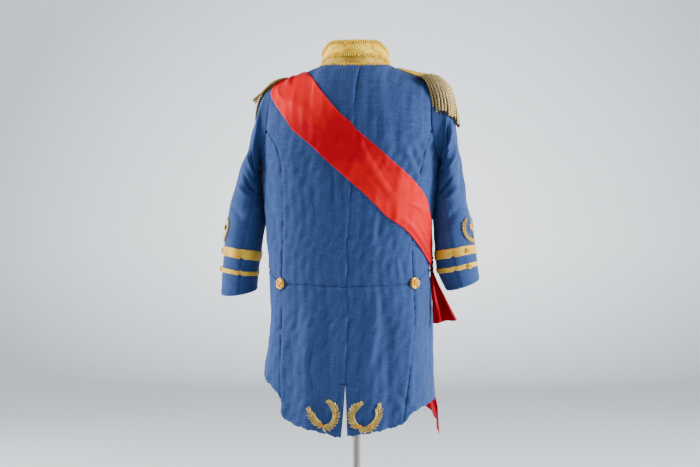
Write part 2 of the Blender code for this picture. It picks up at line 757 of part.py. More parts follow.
# Height of the epaulette's upper face by its way out along the shoulder
EPAULETTE_HEIGHT = {
    1: ((0.172, 1.4293), (0.190, 1.4253), (0.2025, 1.4203), (0.215, 1.4128), (0.228, 1.4018),
        (0.240, 1.3878)),
    -1: ((0.104, 1.4541), (0.135, 1.4475), (0.157, 1.4420), (0.180, 1.4375), (0.198, 1.4310),
         (0.212, 1.4225), (0.2235, 1.4125), (0.236, 1.3985)),
}
STRAP_HALF_WIDTH = 0.022
BOARD = 0.003
CROSS_DROOP = 1.9


def shoulder_point(side, across, y, out):
    """A point on the epaulette: its height along the shoulder, rounded from front to back."""
    level = smooth(EPAULETTE_HEIGHT[side], across) - y * y * CROSS_DROOP
    return Vector((side * across + SHOULDER_SHIFT, NECK_Y - PADS[side].forward + y, level + out))


def epaulette(side, word):
    pad = PADS[side]
    start, end, steps = pad.strap_start or pad.middle - pad.half_length, pad.middle + pad.half_length, 12
    grids = []
    for out in (0, -BOARD):
        grid = []
        for r in range(steps + 1):
            across = mix(start, end, r / steps)
            offset = (across - pad.middle) / pad.half_length
            oval = pad.half_width * math.sqrt(max(1 - offset**2, 0.02)) if abs(offset) <= 1 else 0
            half = max(oval, STRAP_HALF_WIDTH if across < pad.middle and pad.strap_start else 0)
            grid.append([shoulder_point(side, across, half * s, out) for s in (-1, -0.5, 0, 0.5, 1)])
        grids.append(grid)
    wall(f"epaulette_{word}", grids[0], grids[1], GOLD_THREAD)
    fringe(side, word)


def fringe(side, word):
    """A curved backing strip just outside the pad's rim, with the bullion strands drawn out of it."""
    pad = PADS[side]
    bm = bmesh.new()
    first, last = math.radians(pad.first), math.radians(pad.last)
    count = pad.strands * 2
    clear, thick, tall = 0.0006, 0.0030, 0.0050
    rows = []
    for k in range(count + 1):
        angle = mix(first, last, k / count)
        corners = []
        for reach, drop in ((clear + thick, 0), (clear + thick, tall), (clear, tall), (clear, 0)):
            across = pad.middle + (pad.half_length + reach) * math.cos(angle)
            y = (pad.half_width + reach) * math.sin(angle)
            rim = shoulder_point(side, min(across, pad.middle + pad.half_length), y, -drop)
            rim.x = side * across + SHOULDER_SHIFT
            corners.append(bm.verts.new(rim))
        rows.append(corners)
    strand_faces = []
    for k in range(count):
        for c in range(4):
            quad = (rows[k][c], rows[k + 1][c], rows[k + 1][(c + 1) % 4], rows[k][(c + 1) % 4])
            face = bm.faces.new(quad)
            if c == 0 and k % 2 == 0:
                strand_faces.append((face, k + 0.5))
    bm.faces.new(rows[0])
    bm.faces.new(rows[-1][::-1])
    bmesh.ops.recalc_face_normals(bm, faces=bm.faces)
    for face, place in strand_faces:
        angle = mix(first, last, place / count)
        outward = Vector((side * math.cos(angle) / pad.half_length, math.sin(angle) / pad.half_width, 0))
        draw_strand(bm, face, outward.normalized(), abs(math.sin(angle)))
    mesh_from(f"fringe_{word}", bm, GOLD_THREAD)


STRAND_STEPS = 3
STRAND_LENGTH = (0.100, 0.086)
STRAND_FIRST_LEAN = (56, 40)
STRAND_LAST_LEAN = 84
STRAND_HALF = 0.0026


def draw_strand(bm, face, outward, sideness):
    """Pulls one strand out of a face: outward over the sleeve head, then down.

    Sideness is 0 at the pad's outer end and 1 at its front and back, where the strands are shorter.
    """
    step = mix(*STRAND_LENGTH, sideness) / STRAND_STEPS
    for k in range(STRAND_STEPS):
        face = bmesh.ops.extrude_discrete_faces(bm, faces=[face])["faces"][0]
        first_lean = mix(*STRAND_FIRST_LEAN, sideness)
        lean = math.radians(mix(first_lean, STRAND_LAST_LEAN, k / (STRAND_STEPS - 1)))
        move = outward * math.cos(lean) * step + Vector((0, 0, -math.sin(lean) * step))
        bmesh.ops.translate(bm, vec=move, verts=face.verts)
        if k == 0:
            level_corners(face, face.calc_center_median(), outward)


def level_corners(face, middle, outward):
    """Squares up the strand's section."""
    half = STRAND_HALF
    along = Vector((0, 0, 1)).cross(outward)
    tilt = (outward * 0.75 + Vector((0, 0, 0.66))).normalized()
    for vertex in face.verts:
        offset = vertex.co - middle
        vertex.co = middle + along * math.copysign(half, offset.dot(along)) + tilt * math.copysign(
            half, offset.z
        )


# Sash


def sash_height(column):
    """How far the sash's two faces stand off the coat, with a slight ripple."""
    return SASH_UNDER, SASH_TOP + SASH_RIPPLE * math.sin(column * 2.1)


def sash_part(name, rows, to_turn):
    """One half of the sash. The function gives the turn of this half for a turn of the back half."""
    places = []
    for row in rows:
        line = []
        for c in range(SASH_COLUMNS + 1):
            share = c / SASH_COLUMNS
            level = min(mix(row.upper_level, row.lower_level, share), SHOULDER_EDGE)
            line.append((to_turn(mix(row.upper_turn, row.lower_turn, share)), level))
        places.append(line)
    lower = [[sash_height(c)[0] for c in range(len(line))] for line in places]
    upper = [[sash_height(c)[1] for c in range(len(line))] for line in places]
    return coat_wall(name, places, RED_SATIN, upper, lower)


def sash():
    rows = [Across(*row_at(SASH, k / 2)) for k in range(2 * len(SASH) - 1)]
    sash_part("sash_back", rows, lambda turn: turn)
    sash_part("sash_front", rows, lambda turn: 2 - turn)
    turns = [mix(-1.028, -0.972, c / 3) for c in range(4)]
    tie = [[(turn, mix(TIE_FOOT, TIE_TOP, r / 3)) for turn in turns] for r in range(4)]
    coat_wall("sash_tie", tie, BLACK, TIE_OUT, TIE_UNDER)
    tail_back()
    tail_front()


# The tails hang from just under the tie: rows from top to foot of x at the back edge, x at the front
# edge, y, height at the back edge and height at the front edge
TAIL_TOP = TIE_FOOT - SEAM_GAP
ShortTail = namedtuple("ShortTail", "inner outer y inner_level outer_level fold")
SHORT_TAIL = (
    ShortTail(-0.1838, -0.1905, 0.0062, TAIL_TOP, TAIL_TOP, 0.0004),
    ShortTail(-0.1865, -0.2040, 0.0180, 0.9180, 0.9180, 0.0030),
    ShortTail(-0.1895, -0.2225, 0.0280, 0.8800, 0.8820, 0.0060),
    ShortTail(-0.1915, -0.2385, 0.0345, 0.8470, 0.8520, 0.0080),
    ShortTail(-0.1930, -0.2520, 0.0380, 0.8180, 0.8265, 0.0090),
)
SHORT_TAIL_CLOTH = 0.0016
LONG_TAIL_UNDER = 0.0030
LONG_TAIL_TOP = 0.0046


def tail_back():
    """The tail that flares out at the hip, in standing folds."""
    rows, columns = 9, 10
    grids = []
    for out in (0.0, SHORT_TAIL_CLOTH):
        grid = []
        for r in range(rows + 1):
            row = ShortTail(*row_at(SHORT_TAIL, r / rows * (len(SHORT_TAIL) - 1)))
            line = []
            for c in range(columns + 1):
                across = c / columns
                fold = row.fold * math.sin(math.pi * (0.2 + 2.6 * across**1.3))
                level = mix(row.inner_level, row.outer_level, across)
                line.append(Vector((mix(row.inner, row.outer, across), row.y + fold + out, level)))
            grid.append(line)
        grids.append(grid)
    wall("sash_tail_short", grids[0], grids[1], RED_SATIN)


def tail_front():
    """The long tail that hangs down the side, just in front of the side seam, to a point."""
    rows, columns = 13, 5
    places = []
    for r in range(rows + 1):
        share = r / rows
        near, far = mix(1.012, 1.035, min(3 * share, 1)), mix(1.080, 1.300, share)
        line = []
        for c in range(columns + 1):
            across = c / columns
            foot = mix(0.538, 0.600, across)
            line.append((-mix(near, far, across), mix(TAIL_TOP, foot, share)))
        places.append(line)
    coat_wall("sash_tail_long", places, RED_SATIN, LONG_TAIL_TOP, LONG_TAIL_UNDER)


# Stand


FORM_QUARTER = [NECK_TURN * k / 3 for k in range(3)] + [mix(NECK_TURN, 1, k / 6) for k in range(6)]
FORM_HALF = FORM_QUARTER + [1] + [2 - turn for turn in FORM_QUARTER[:0:-1]]
FORM_TURNS = FORM_HALF + [2] + [-turn for turn in FORM_HALF[:0:-1]]
# The neck of the form: how far each ring draws in, and its height
NECK_RINGS = ((0.92, None), (1.0, 1.466), (1.0, 1.476), (0.92, NECK_CAP_TOP))


FORM_SHOULDER = 0.190
FORM_CLEARANCE = 0.0075
FORM_SEAT = 0.0005
FORM_ROUNDING = 0.0032


def form_point(turn, level):
    """A point of the form: well inside the coat below the chest, and just under it at the shoulders."""
    if level <= CHEST:
        inset = CLOTH + mix(FORM_CLEARANCE, FORM_CLEARANCE / 2, max(0, min((level - 1.20) / 0.09, 1)))
        return body_point(turn, level) - body_normal(turn, level) * inset
    lift = (level - CHEST) / (SHOULDER - CHEST)
    inset = CLOTH + mix(FORM_CLEARANCE / 2, FORM_SEAT, lift) + FORM_ROUNDING * math.sin(math.pi * lift)
    point = body_point(turn, level)
    point.y = mix(point.y, NECK_Y, 1.5 * inset / NECK_BACK * (1 - lift))
    across = point.x - SHOULDER_SHIFT
    if abs(across) > FORM_SHOULDER:
        kept = mix(1, 0.3, min(1, 2 * lift))
        point.x = SHOULDER_SHIFT + math.copysign(mix(FORM_SHOULDER, abs(across), kept), across)
    point.z -= inset
    return point


def form():
    """The smooth dress form, clear of the coat but for its shoulders."""
    bm = bmesh.new()
    levels = [mix(FORM_BOTTOM, 1.20, k / 5) for k in range(6)] + [1.25, 1.285]
    levels += [level for level in BODICE_LEVELS if level > CHEST]
    rows = []
    for level in levels:
        rows.append([bm.verts.new(form_point(turn, level)) for turn in FORM_TURNS])
    for vertex in rows[0]:
        vertex.co.z = FORM_BOTTOM
    for low, high in zip(rows, rows[1:]):
        for a in range(len(FORM_TURNS)):
            b = (a + 1) % len(FORM_TURNS)
            bm.faces.new((low[a], low[b], high[b], high[a]))
    bmesh.ops.remove_doubles(bm, verts=bm.verts, dist=0.0008)
    rim = [edge for edge in bm.edges if edge.is_boundary and edge.verts[0].co.z > CHEST]
    for scale, level in NECK_RINGS:
        made = bmesh.ops.extrude_edge_only(bm, edges=rim)["geom"]
        rim = [item for item in made if isinstance(item, bmesh.types.BMEdge)]
        for vertex in {v for edge in rim for v in edge.verts}:
            vertex.co.x = mix(SHOULDER_SHIFT, vertex.co.x, scale)
            vertex.co.y = mix(NECK_Y, vertex.co.y, scale)
            vertex.co.z = vertex.co.z + 0.003 if level is None else level
    bmesh.ops.edgeloop_fill(bm, edges=rim)
    bmesh.ops.edgeloop_fill(bm, edges=[edge for edge in bm.edges if edge.is_boundary])
    mesh_from("dress_form", bm, LINEN)


def turned(name, profile, finish, steps=32):
    """A solid turned about the Z axis from a profile that runs down its outer side."""
    bm = bmesh.new()
    points = [bm.verts.new((radius, 0, height)) for radius, height in profile]
    for one, two in zip(points, points[1:]):
        bm.edges.new((one, two))
    data = bpy.data.meshes.new(name)
    bm.to_mesh(data)
    bm.free()
    item = add_object(name, data, finish)
    screw = item.modifiers.new("turn", "SCREW")
    screw.steps = screw.render_steps = steps
    screw.use_merge_vertices = True
    screw.merge_threshold = 0.0001
    return item


def stand():
    edge = 0.004
    base = ((0, BASE_HEIGHT), (BASE_RADIUS - edge, BASE_HEIGHT), (BASE_RADIUS, BASE_HEIGHT - edge),
            (BASE_RADIUS, 0), (0, 0))
    turned("base", base, STEEL, 40)
    foot, top = BASE_HEIGHT + SEAM_GAP, FORM_BOTTOM - SEAM_GAP
    pole = ((0, top), (POLE_RADIUS, top), (POLE_RADIUS, 0.052), (0.021, 0.046), (0.026, foot), (0, foot))
    turned("pole", pole, STEEL, 24)


# Build

for leftover in list(bpy.data.objects):
    bpy.data.objects.remove(leftover)
PIECES = bpy.data.collections.new("court_uniform")
bpy.context.scene.collection.children.link(PIECES)

BLUE = material("blue_cloth", (0.042, 0.107, 0.289), 0.85)
GOLD_SATIN = material("gold_satin", (0.80, 0.55, 0.14), 0.45)
RED_SATIN = material("red_satin", (0.62, 0.0, 0.006), 0.35)
GOLD_THREAD = material("gold_thread", (0.33, 0.22, 0.07), 0.5, 0.4)
GILT = material("gilt_metal", (0.60, 0.32, 0.08), 0.35, 0.9)
BLACK = material("black_cord", (0.012, 0.012, 0.014), 0.8)
LINEN = material("form_linen", (0.55, 0.50, 0.42), 0.9)
STEEL = material("brushed_steel", (0.45, 0.44, 0.42), 0.35, 0.9)

for body_side, side_word in ((1, "left"), (-1, "right")):
    bodice(body_side, side_word)
    skirts(body_side, side_word)
    sleeve(body_side, side_word)
    sleeve_spray(body_side, side_word)
    tail_spray(body_side, side_word)
    epaulette(body_side, side_word)
    waist_turn = body_side * SKIRT_SEAM[body_side][-1][1]
    coat_button(f"waist_button_{side_word}", waist_turn, waist_level(waist_turn) - 0.002, WAIST_BUTTON)
for number, button_level in enumerate(FRONT_BUTTON_LEVELS, 1):
    coat_button(f"front_button_{number}", 2.0, button_level, FRONT_BUTTON)
collar()
sash()
form()
stand()
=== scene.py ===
"""A court uniform coat with its sash, on a limbless dress form stand: the visual model.

Metres, +Z up, origin at the middle of the base's underside. The wearer faces -Y and +X is the wearer's
left. A place on the coat is a turn and a level: turn 0 is the centre back, 1 the left side, 2 the
centre front and -1 the right side. The level is a height up to the chest line, and past it the way over
the shoulder up to the shoulder seam. Places are numpy arrays, so that a whole panel is made at once.
"""

import random
from collections import namedtuple
from math import cos, pi, radians, sin, sqrt

import bmesh
import bpy
import numpy as np
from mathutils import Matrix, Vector


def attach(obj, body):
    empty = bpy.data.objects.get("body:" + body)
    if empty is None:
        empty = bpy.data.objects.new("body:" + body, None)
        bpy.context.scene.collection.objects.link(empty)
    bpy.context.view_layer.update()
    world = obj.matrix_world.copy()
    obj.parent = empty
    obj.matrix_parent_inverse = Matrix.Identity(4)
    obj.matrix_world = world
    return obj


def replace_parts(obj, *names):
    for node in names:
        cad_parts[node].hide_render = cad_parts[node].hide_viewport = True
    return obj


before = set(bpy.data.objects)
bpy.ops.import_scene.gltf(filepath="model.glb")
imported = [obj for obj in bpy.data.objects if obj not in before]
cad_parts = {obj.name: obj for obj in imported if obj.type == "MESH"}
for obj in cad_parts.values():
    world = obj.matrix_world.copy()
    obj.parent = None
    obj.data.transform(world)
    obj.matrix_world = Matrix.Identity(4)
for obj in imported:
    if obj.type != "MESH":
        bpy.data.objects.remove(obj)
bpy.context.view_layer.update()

# Driving sizes, which the solids have too
CLOTH = 0.002
SEAM_GAP = 0.0003
WAIST_GAP = 0.0005
ARMHOLE_GAP = 0.0008
SIDE_POWER = 2.5
CHEST = 1.29
SHOULDER = 1.39
SHOULDER_EDGE = 1.3893
NECK_HALF_WIDTH = 0.086
NECK_BACK = 0.070
NECK_FRONT = 0.075
NECK_LEVEL = 1.4575
NECK_DROP_BACK = 0.006
NECK_DROP_FRONT = 0.030
NECK_Y = -0.005
SHOULDER_SLOPE = 0.400
SHOULDER_SHIFT = 0.002
POLE_RADIUS = 0.0096
BASE_RADIUS = 0.19
BASE_HEIGHT = 0.012
FORM_BOTTOM = 0.80
NECK_CAP_TOP = 1.480
SIDES = {1: "left", -1: "right"}

# Body of the coat: one row a level
Section = namedtuple("Section", "level shift half_width back front")
SECTIONS = (
    Section(0.50, 0.017, 0.217, 0.150, 0.140),
    Section(0.62, 0.018, 0.213, 0.150, 0.140),
    Section(0.70, 0.019, 0.211, 0.149, 0.138),
    Section(0.76, 0.015, 0.206, 0.146, 0.136),
    Section(0.83, 0.012, 0.202, 0.142, 0.133),
    Section(0.91, 0.016, 0.200, 0.138, 0.130),
    Section(0.95, 0.0175, 0.200, 0.134, 0.128),
    Section(1.02, 0.020, 0.203, 0.132, 0.130),
    Section(1.12, 0.018, 0.212, 0.136, 0.136),
    Section(1.21, 0.014, 0.221, 0.138, 0.138),
    Section(1.30, 0.013, 0.222, 0.138, 0.138),
)

# Soft vertical folds: where each lies and how wide it is in turns, how high it stands and between which
# levels. They fade in over a way at each end, but those of the skirts run through the hem.
Fold = namedtuple("Fold", "turn width depth low high")
FOLDS = (
    Fold(0.30, 0.07, 0.0035, 0.50, 0.88),
    Fold(0.47, 0.06, -0.0030, 0.50, 0.86),
    Fold(0.74, 0.08, 0.0045, 0.50, 0.90),
    Fold(0.92, 0.06, -0.0040, 0.50, 0.88),
    Fold(-0.22, 0.07, 0.0030, 0.50, 0.87),
    Fold(-0.38, 0.05, -0.0035, 0.50, 0.85),
    Fold(-0.56, 0.07, 0.0045, 0.50, 0.90),
    Fold(-0.84, 0.08, -0.0040, 0.50, 0.88),
    Fold(1.20, 0.08, 0.0040, 0.50, 0.90),
    Fold(1.42, 0.06, -0.0035, 0.60, 0.90),
    Fold(-1.22, 0.08, 0.0040, 0.50, 0.90),
    Fold(-1.40, 0.06, -0.0035, 0.60, 0.90),
    Fold(0.12, 0.05, -0.0020, 1.02, 1.20),
    Fold(-0.45, 0.05, 0.0025, 1.00, 1.25),
    Fold(0.42, 0.06, 0.0020, 0.98, 1.22),
)
FOLD_TOP_FADE = 0.10
FOLD_FOOT_FADE = 0.08
LOWEST_BODICE_FOLD = 0.9

# Seams and edges of the coat, each as turn by level, or level by turn
CENTRE_BACK = ((0.90, -0.015), (1.12, -0.050), (1.31, -0.065), (1.39, -0.070))
PRINCESS = {
    1: ((0.91, 0.615), (0.94, 0.605), (1.01, 0.573), (1.09, 0.545), (1.14, 0.540), (1.22, 0.565),
        (1.26, 0.622), (1.291, 0.735)),
    -1: ((0.91, 0.637), (0.94, 0.630), (1.02, 0.625), (1.10, 0.615), (1.18, 0.630), (1.22, 0.650),
         (1.26, 0.690), (1.291, 0.742)),
}
ARMHOLE = ((1.215, 1.0), (1.219, 0.932), (1.231, 0.862), (1.250, 0.802), (1.270, 0.768),
           (1.291, 0.748), (1.33, 0.725), (1.36, 0.728), (1.39, 0.750))
WAIST = ((0.0, 0.910), (0.40, 0.915), (0.62, 0.919), (0.80, 0.941), (1.0, 0.955), (1.5, 0.952),
         (2.0, 0.940))
HEM_BACK = {
    1: ((0.0, 0.546), (0.20, 0.561), (0.385, 0.573), (0.50, 0.586), (0.56, 0.600)),
    -1: ((0.0, 0.551), (0.135, 0.557), (0.275, 0.564), (0.38, 0.571), (0.485, 0.579)),
}
HEM_SIDE = {
    1: ((0.56, 0.6355), (0.62, 0.657), (0.69, 0.670), (0.775, 0.684), (0.96, 0.694), (1.10, 0.716)),
    -1: ((0.488, 0.579), (0.56, 0.602), (0.66, 0.615), (0.805, 0.624), (1.0, 0.630), (1.10, 0.645)),
}
SKIRT_SEAM = {
    1: ((0.600, 0.560), (0.683, 0.565), (0.745, 0.590), (0.808, 0.619), (0.919, 0.612)),
    -1: ((0.578, 0.490), (0.700, 0.560), (0.835, 0.617), (0.914, 0.637)),
}
# Skirt edges by the share of the way from waist to hem
SKIRT_FRONT = ((0.0, 1.62), (0.30, 1.46), (0.60, 1.28), (1.0, 1.06))
VENT = {
    1: ((0.0, -0.0155), (0.62, -0.0150), (0.70, -0.0110), (1.0, 0.025)),
    -1: ((0.0, -0.0155), (0.62, -0.0150), (0.70, -0.0190), (1.0, -0.027)),
}

# Where an armhole's middle lies: out from the body's own middle, forward and up
BODY_MIDDLE = 0.013
ARMHOLE_OUT = 0.222
ARMHOLE_FORWARD = -0.004
ARMHOLE_UP = 1.30

# Sleeves: one row a ring from the armhole to the cuff. Outer and inner are the ring's two ends seen
# from behind, as distances from the middle plane and heights.
Ring = namedtuple("Ring", "outer outer_level inner inner_level middle half_depth")
SLEEVES = {
    1: (
        Ring(0.2280, 1.392, 0.2392, 1.2165, -0.004, 0.067),
        Ring(0.2430, 1.362, 0.2400, 1.2110, -0.005, 0.073),
        Ring(0.2520, 1.325, 0.2398, 1.2030, -0.006, 0.077),
        Ring(0.2620, 1.285, 0.2402, 1.1970, -0.008, 0.079),
        Ring(0.2715, 1.247, 0.2402, 1.1880, -0.010, 0.079),
        Ring(0.2870, 1.210, 0.2400, 1.1720, -0.012, 0.078),
        Ring(0.2960, 1.175, 0.2390, 1.1500, -0.014, 0.077),
        Ring(0.3045, 1.140, 0.2380, 1.1250, -0.016, 0.074),
        Ring(0.3160, 1.100, 0.2365, 1.0930, -0.019, 0.071),
        Ring(0.3250, 1.058, 0.2370, 1.0520, -0.023, 0.067),
        Ring(0.3310, 1.010, 0.2440, 0.9970, -0.027, 0.063),
        Ring(0.3340, 0.968, 0.2510, 0.9550, -0.031, 0.060),
        Ring(0.3370, 0.928, 0.2540, 0.9210, -0.035, 0.058),
        Ring(0.3400, 0.886, 0.2570, 0.8970, -0.038, 0.056),
    ),
    -1: (
        Ring(0.2220, 1.394, 0.2112, 1.2165, -0.004, 0.067),
        Ring(0.2360, 1.365, 0.2120, 1.2110, -0.005, 0.073),
        Ring(0.2455, 1.328, 0.2118, 1.2030, -0.006, 0.077),
        Ring(0.2505, 1.288, 0.2120, 1.1970, -0.008, 0.079),
        Ring(0.2555, 1.250, 0.2118, 1.1880, -0.010, 0.079),
        Ring(0.2620, 1.215, 0.2100, 1.1720, -0.012, 0.078),
        Ring(0.2680, 1.178, 0.2060, 1.1500, -0.014, 0.077),
        Ring(0.2730, 1.140, 0.2025, 1.1250, -0.016, 0.074),
        Ring(0.2790, 1.100, 0.1995, 1.0930, -0.019, 0.071),
        Ring(0.2870, 1.060, 0.1970, 1.0480, -0.023, 0.067),
        Ring(0.2950, 1.012, 0.1965, 0.9950, -0.027, 0.063),
        Ring(0.3000, 0.975, 0.1990, 0.9550, -0.031, 0.060),
        Ring(0.3035, 0.948, 0.2080, 0.9270, -0.035, 0.058),
        Ring(0.3060, 0.925, 0.2230, 0.8990, -0.038, 0.056),
    ),
}
LAST_RING = len(SLEEVES[1])
SLEEVE_BACK_SEAM = ((0, 0.36), (7, 0.37), (9, 0.32), (11, 0.275), (LAST_RING, 0.265))
SLEEVE_FRONT_SEAM = 0.66
# Each band's two edges by ring, and how far round the buttons and sprays sit
WIDE_BAND = {1: (11.06, 11.60), -1: (11.00, 11.52)}
NARROW_BAND = {1: (12.32, 12.60), -1: (12.12, 12.50)}
CUFF_BUTTON_ROUND = {1: 0.035, -1: 0.150}
SLEEVE_SPRAY_ROUND = {1: 0.035, -1: 0.075}
SLEEVE_SPRAY_RING = 10.10

# Sash: one row across it, from the shoulder seam to the hip
Across = namedtuple("Across", "upper_turn upper_level lower_turn lower_level")
SASH = (
    Across(0.452, 1.390, 0.565, 1.390),
    Across(0.395, 1.374, 0.665, 1.372),
    Across(0.340, 1.355, 0.715, 1.352),
    Across(0.275, 1.341, 0.680, 1.336),
    Across(0.220, 1.330, 0.590, 1.317),
    Across(0.130, 1.316, 0.435, 1.288),
    Across(0.040, 1.304, 0.285, 1.252),
    Across(-0.060, 1.293, 0.180, 1.222),
    Across(-0.165, 1.268, 0.070, 1.193),
    Across(-0.275, 1.240, -0.045, 1.164),
    Across(-0.385, 1.211, -0.165, 1.135),
    Across(-0.505, 1.183, -0.270, 1.106),
    Across(-0.625, 1.154, -0.375, 1.078),
    Across(-0.740, 1.123, -0.540, 1.048),
    Across(-0.840, 1.080, -0.700, 1.008),
    Across(-0.915, 1.030, -0.840, 0.972),
    Across(-0.965, 0.990, -0.930, 0.958),
)
TIE_FOOT = 0.950

# Leaf sprays on the coat tails: the stem as turns and levels, tip to tip
TAIL_SPRAY = {
    1: ((0.292, 0.620), (0.258, 0.597), (0.205, 0.580), (0.155, 0.5735), (0.108, 0.578), (0.074, 0.592),
        (0.066, 0.610), (0.092, 0.627), (0.140, 0.638)),
    -1: ((-0.165, 0.634), (-0.100, 0.622), (-0.066, 0.604), (-0.085, 0.583), (-0.140, 0.5705),
         (-0.195, 0.5710), (-0.243, 0.581), (-0.285, 0.600), (-0.296, 0.628)),
}

# Buttons: their radii, and the levels of the front row
WAIST_BUTTON = 0.0138
FRONT_BUTTON = 0.0110
CUFF_BUTTON = 0.0078
FRONT_BUTTON_LEVELS = (0.975, 1.040, 1.105, 1.335)


# Curves and surfaces, on arrays


def smooth(points, at):
    """Values at some places, on a smooth curve through the points of a short table."""
    places, values = np.array(points, float).T
    slopes = np.empty_like(values)
    slopes[1:-1] = (values[2:] - values[:-2]) / (places[2:] - places[:-2])
    slopes[0] = (values[1] - values[0]) / (places[1] - places[0])
    slopes[-1] = (values[-1] - values[-2]) / (places[-1] - places[-2])
    at = np.clip(np.asarray(at, float), places[0], places[-1])
    k = np.clip(np.searchsorted(places, at, side="right") - 1, 0, len(places) - 2)
    span = places[k + 1] - places[k]
    t = (at - places[k]) / span
    return (
        (2 * t**3 - 3 * t**2 + 1) * values[k]
        + (t**3 - 2 * t**2 + t) * span * slopes[k]
        + (-2 * t**3 + 3 * t**2) * values[k + 1]
        + (t**3 - t**2) * span * slopes[k + 1]
    )


def mix(low, high, share):
    return low + (high - low) * share


def ramp(value, low, high):
    """0 below the first value, 1 above the second, and an even S between them."""
    t = np.clip((value - low) / (high - low), 0, 1)
    return t * t * (3 - 2 * t)


def bell(value, width):
    """1 at nought, and falling away softly on both sides of it."""
    return np.exp(-((value / width) ** 2))


def column(rows, c):
    return [(k, row[c]) for k, row in enumerate(rows)]


def matched(first, second):
    """Two lots of places as arrays of one shape."""
    return np.broadcast_arrays(np.asarray(first, float), np.asarray(second, float))


def point(x, y, z):
    return np.stack(np.broadcast_arrays(x, y, z), axis=-1).astype(float)


def unit(vectors):
    return vectors / np.maximum(np.linalg.norm(vectors, axis=-1, keepdims=True), 1e-9)


def section_quarter(count=400, depth_share=0.65):
    """A quarter of the body's section, with its points spaced evenly along it."""
    angle = np.linspace(0, pi / 2, count + 1)
    sideways = np.sin(angle) ** (2 / SIDE_POWER)
    backward = np.clip(np.cos(angle), 0, None) ** (2 / SIDE_POWER)
    steps = np.hypot(np.diff(sideways), np.diff(backward) * depth_share)
    share = np.concatenate([[0], np.cumsum(steps)])
    return share / share[-1], sideways, backward


QUARTER = section_quarter()


def wrap(turn):
    """A turn between -2 and 2."""
    return (np.asarray(turn, float) + 2) % 4 - 2


def direction(turn):
    """How far sideways and backward the body's section goes at a turn, each from -1 to 1."""
    turn = wrap(turn)
    quarter = np.where(np.abs(turn) <= 1, np.abs(turn), 2 - np.abs(turn))
    sideways = np.interp(quarter, QUARTER[0], QUARTER[1])
    backward = np.interp(quarter, QUARTER[0], QUARTER[2])
    return np.copysign(sideways, turn), np.where(np.abs(turn) <= 1, backward, -backward)


def section_at(name, level):
    """One of the section table's columns at a level."""
    c = Section._fields.index(name)
    return smooth([(row.level, row[c]) for row in SECTIONS], level)


NECK_TURN = float(np.interp(NECK_HALF_WIDTH / section_at("half_width", CHEST), QUARTER[1], QUARTER[0]))


def ring_point(turn, level):
    """A point of the body below the chest line."""
    sideways, backward = direction(turn)
    depth = np.where(backward > 0, section_at("back", level), section_at("front", level))
    across = section_at("shift", level) + section_at("half_width", level) * sideways
    return point(across, depth * backward, level)


def seam_place(turn):
    """The point of the shoulder seam, or of the neck's edge, that a turn leads up to."""
    sideways, backward = direction(turn)
    across = section_at("half_width", CHEST) * sideways
    inside = np.clip(1 - (across / NECK_HALF_WIDTH) ** 2, 0, None)
    share = np.sqrt(inside)
    neck_y = np.where(backward > 0, share * NECK_BACK, -share * NECK_FRONT)
    neck_z = -np.where(backward > 0, NECK_DROP_BACK, NECK_DROP_FRONT) * inside
    past = np.clip(np.abs(across) - NECK_HALF_WIDTH, 0, None)
    return point(across + SHOULDER_SHIFT, NECK_Y + neck_y, NECK_LEVEL + neck_z - past * SHOULDER_SLOPE)


def body_point(turn, level):
    """A point of the coat without its folds: round the body, and over the shoulder above the chest."""
    level = np.asarray(level, float)
    low = ring_point(turn, np.minimum(level, CHEST))
    high = seam_place(turn)
    angle = pi / 2 * np.clip((level - CHEST) / (SHOULDER - CHEST), 0, 1)
    up, over = np.sin(angle), np.cos(angle)
    return point(
        mix(low[..., 0], high[..., 0], 1 - over),
        mix(high[..., 1], low[..., 1], over),
        mix(low[..., 2], high[..., 2], up),
    )


def body_normal(turn, level):
    step_turn, step_level = 0.01, 0.002
    turn, level = matched(turn, level)
    high = np.minimum(level + step_level, SHOULDER)
    along = body_point(turn, high) - body_point(turn, high - 2 * step_level)
    across = body_point(turn + step_turn, level) - body_point(turn - step_turn, level)
    flat = np.linalg.norm(across, axis=-1) < 1e-6
    across[flat] = (1, 0, 0)
    normal = unit(np.cross(along, across))
    outward = body_point(turn, level) - point(SHOULDER_SHIFT, 0, level - 0.05)
    return np.where((normal * outward).sum(-1, keepdims=True) > 0, normal, -normal)


def fold_height(turn, level):
    """The large folds that the solids have."""
    turn = wrap(turn)
    height = np.zeros(np.broadcast(turn, level).shape)
    for fold in FOLDS:
        inside = (level >= fold.low) & (level <= fold.high)
        fade = np.sin(pi / 2 * np.clip((fold.high - level) / FOLD_TOP_FADE, 0, 1)) ** 2
        if fold.low > LOWEST_BODICE_FOLD:
            fade = fade * np.sin(pi / 2 * np.clip((level - fold.low) / FOLD_FOOT_FADE, 0, 1)) ** 2
        height += inside * fold.depth * fade * bell(turn - fold.turn, fold.width)
    return height


def coat_point(turn, level, out=0.0):
    """A point of the coat's smooth outer face, or one raised above it."""
    raised = (out + fold_height(turn, level))[..., None]
    return body_point(turn, level) + body_normal(turn, level) * raised


def armhole_edge(round_share, side, out=0.0):
    """The armhole's edge: 0 at the shoulder seam, a quarter at the back and a half under the arm."""
    round_share = np.asarray(round_share, float)
    level = mix(ARMHOLE[0][0], SHOULDER, 0.5 + 0.5 * np.cos(2 * pi * round_share))
    turn = smooth(ARMHOLE, level)
    turn = side * np.where(round_share % 1 <= 0.5, turn, 2 - turn)
    edge = coat_point(turn, level, out)
    middle = np.array((side * ARMHOLE_OUT + BODY_MIDDLE, ARMHOLE_FORWARD, ARMHOLE_UP))
    return edge + unit(middle - edge) * ARMHOLE_GAP


# How much lower the back of each cuff hangs than its front, and the ring from which it does
CUFF_DIP = 0.009
CUFF_DIP_START = 10.5


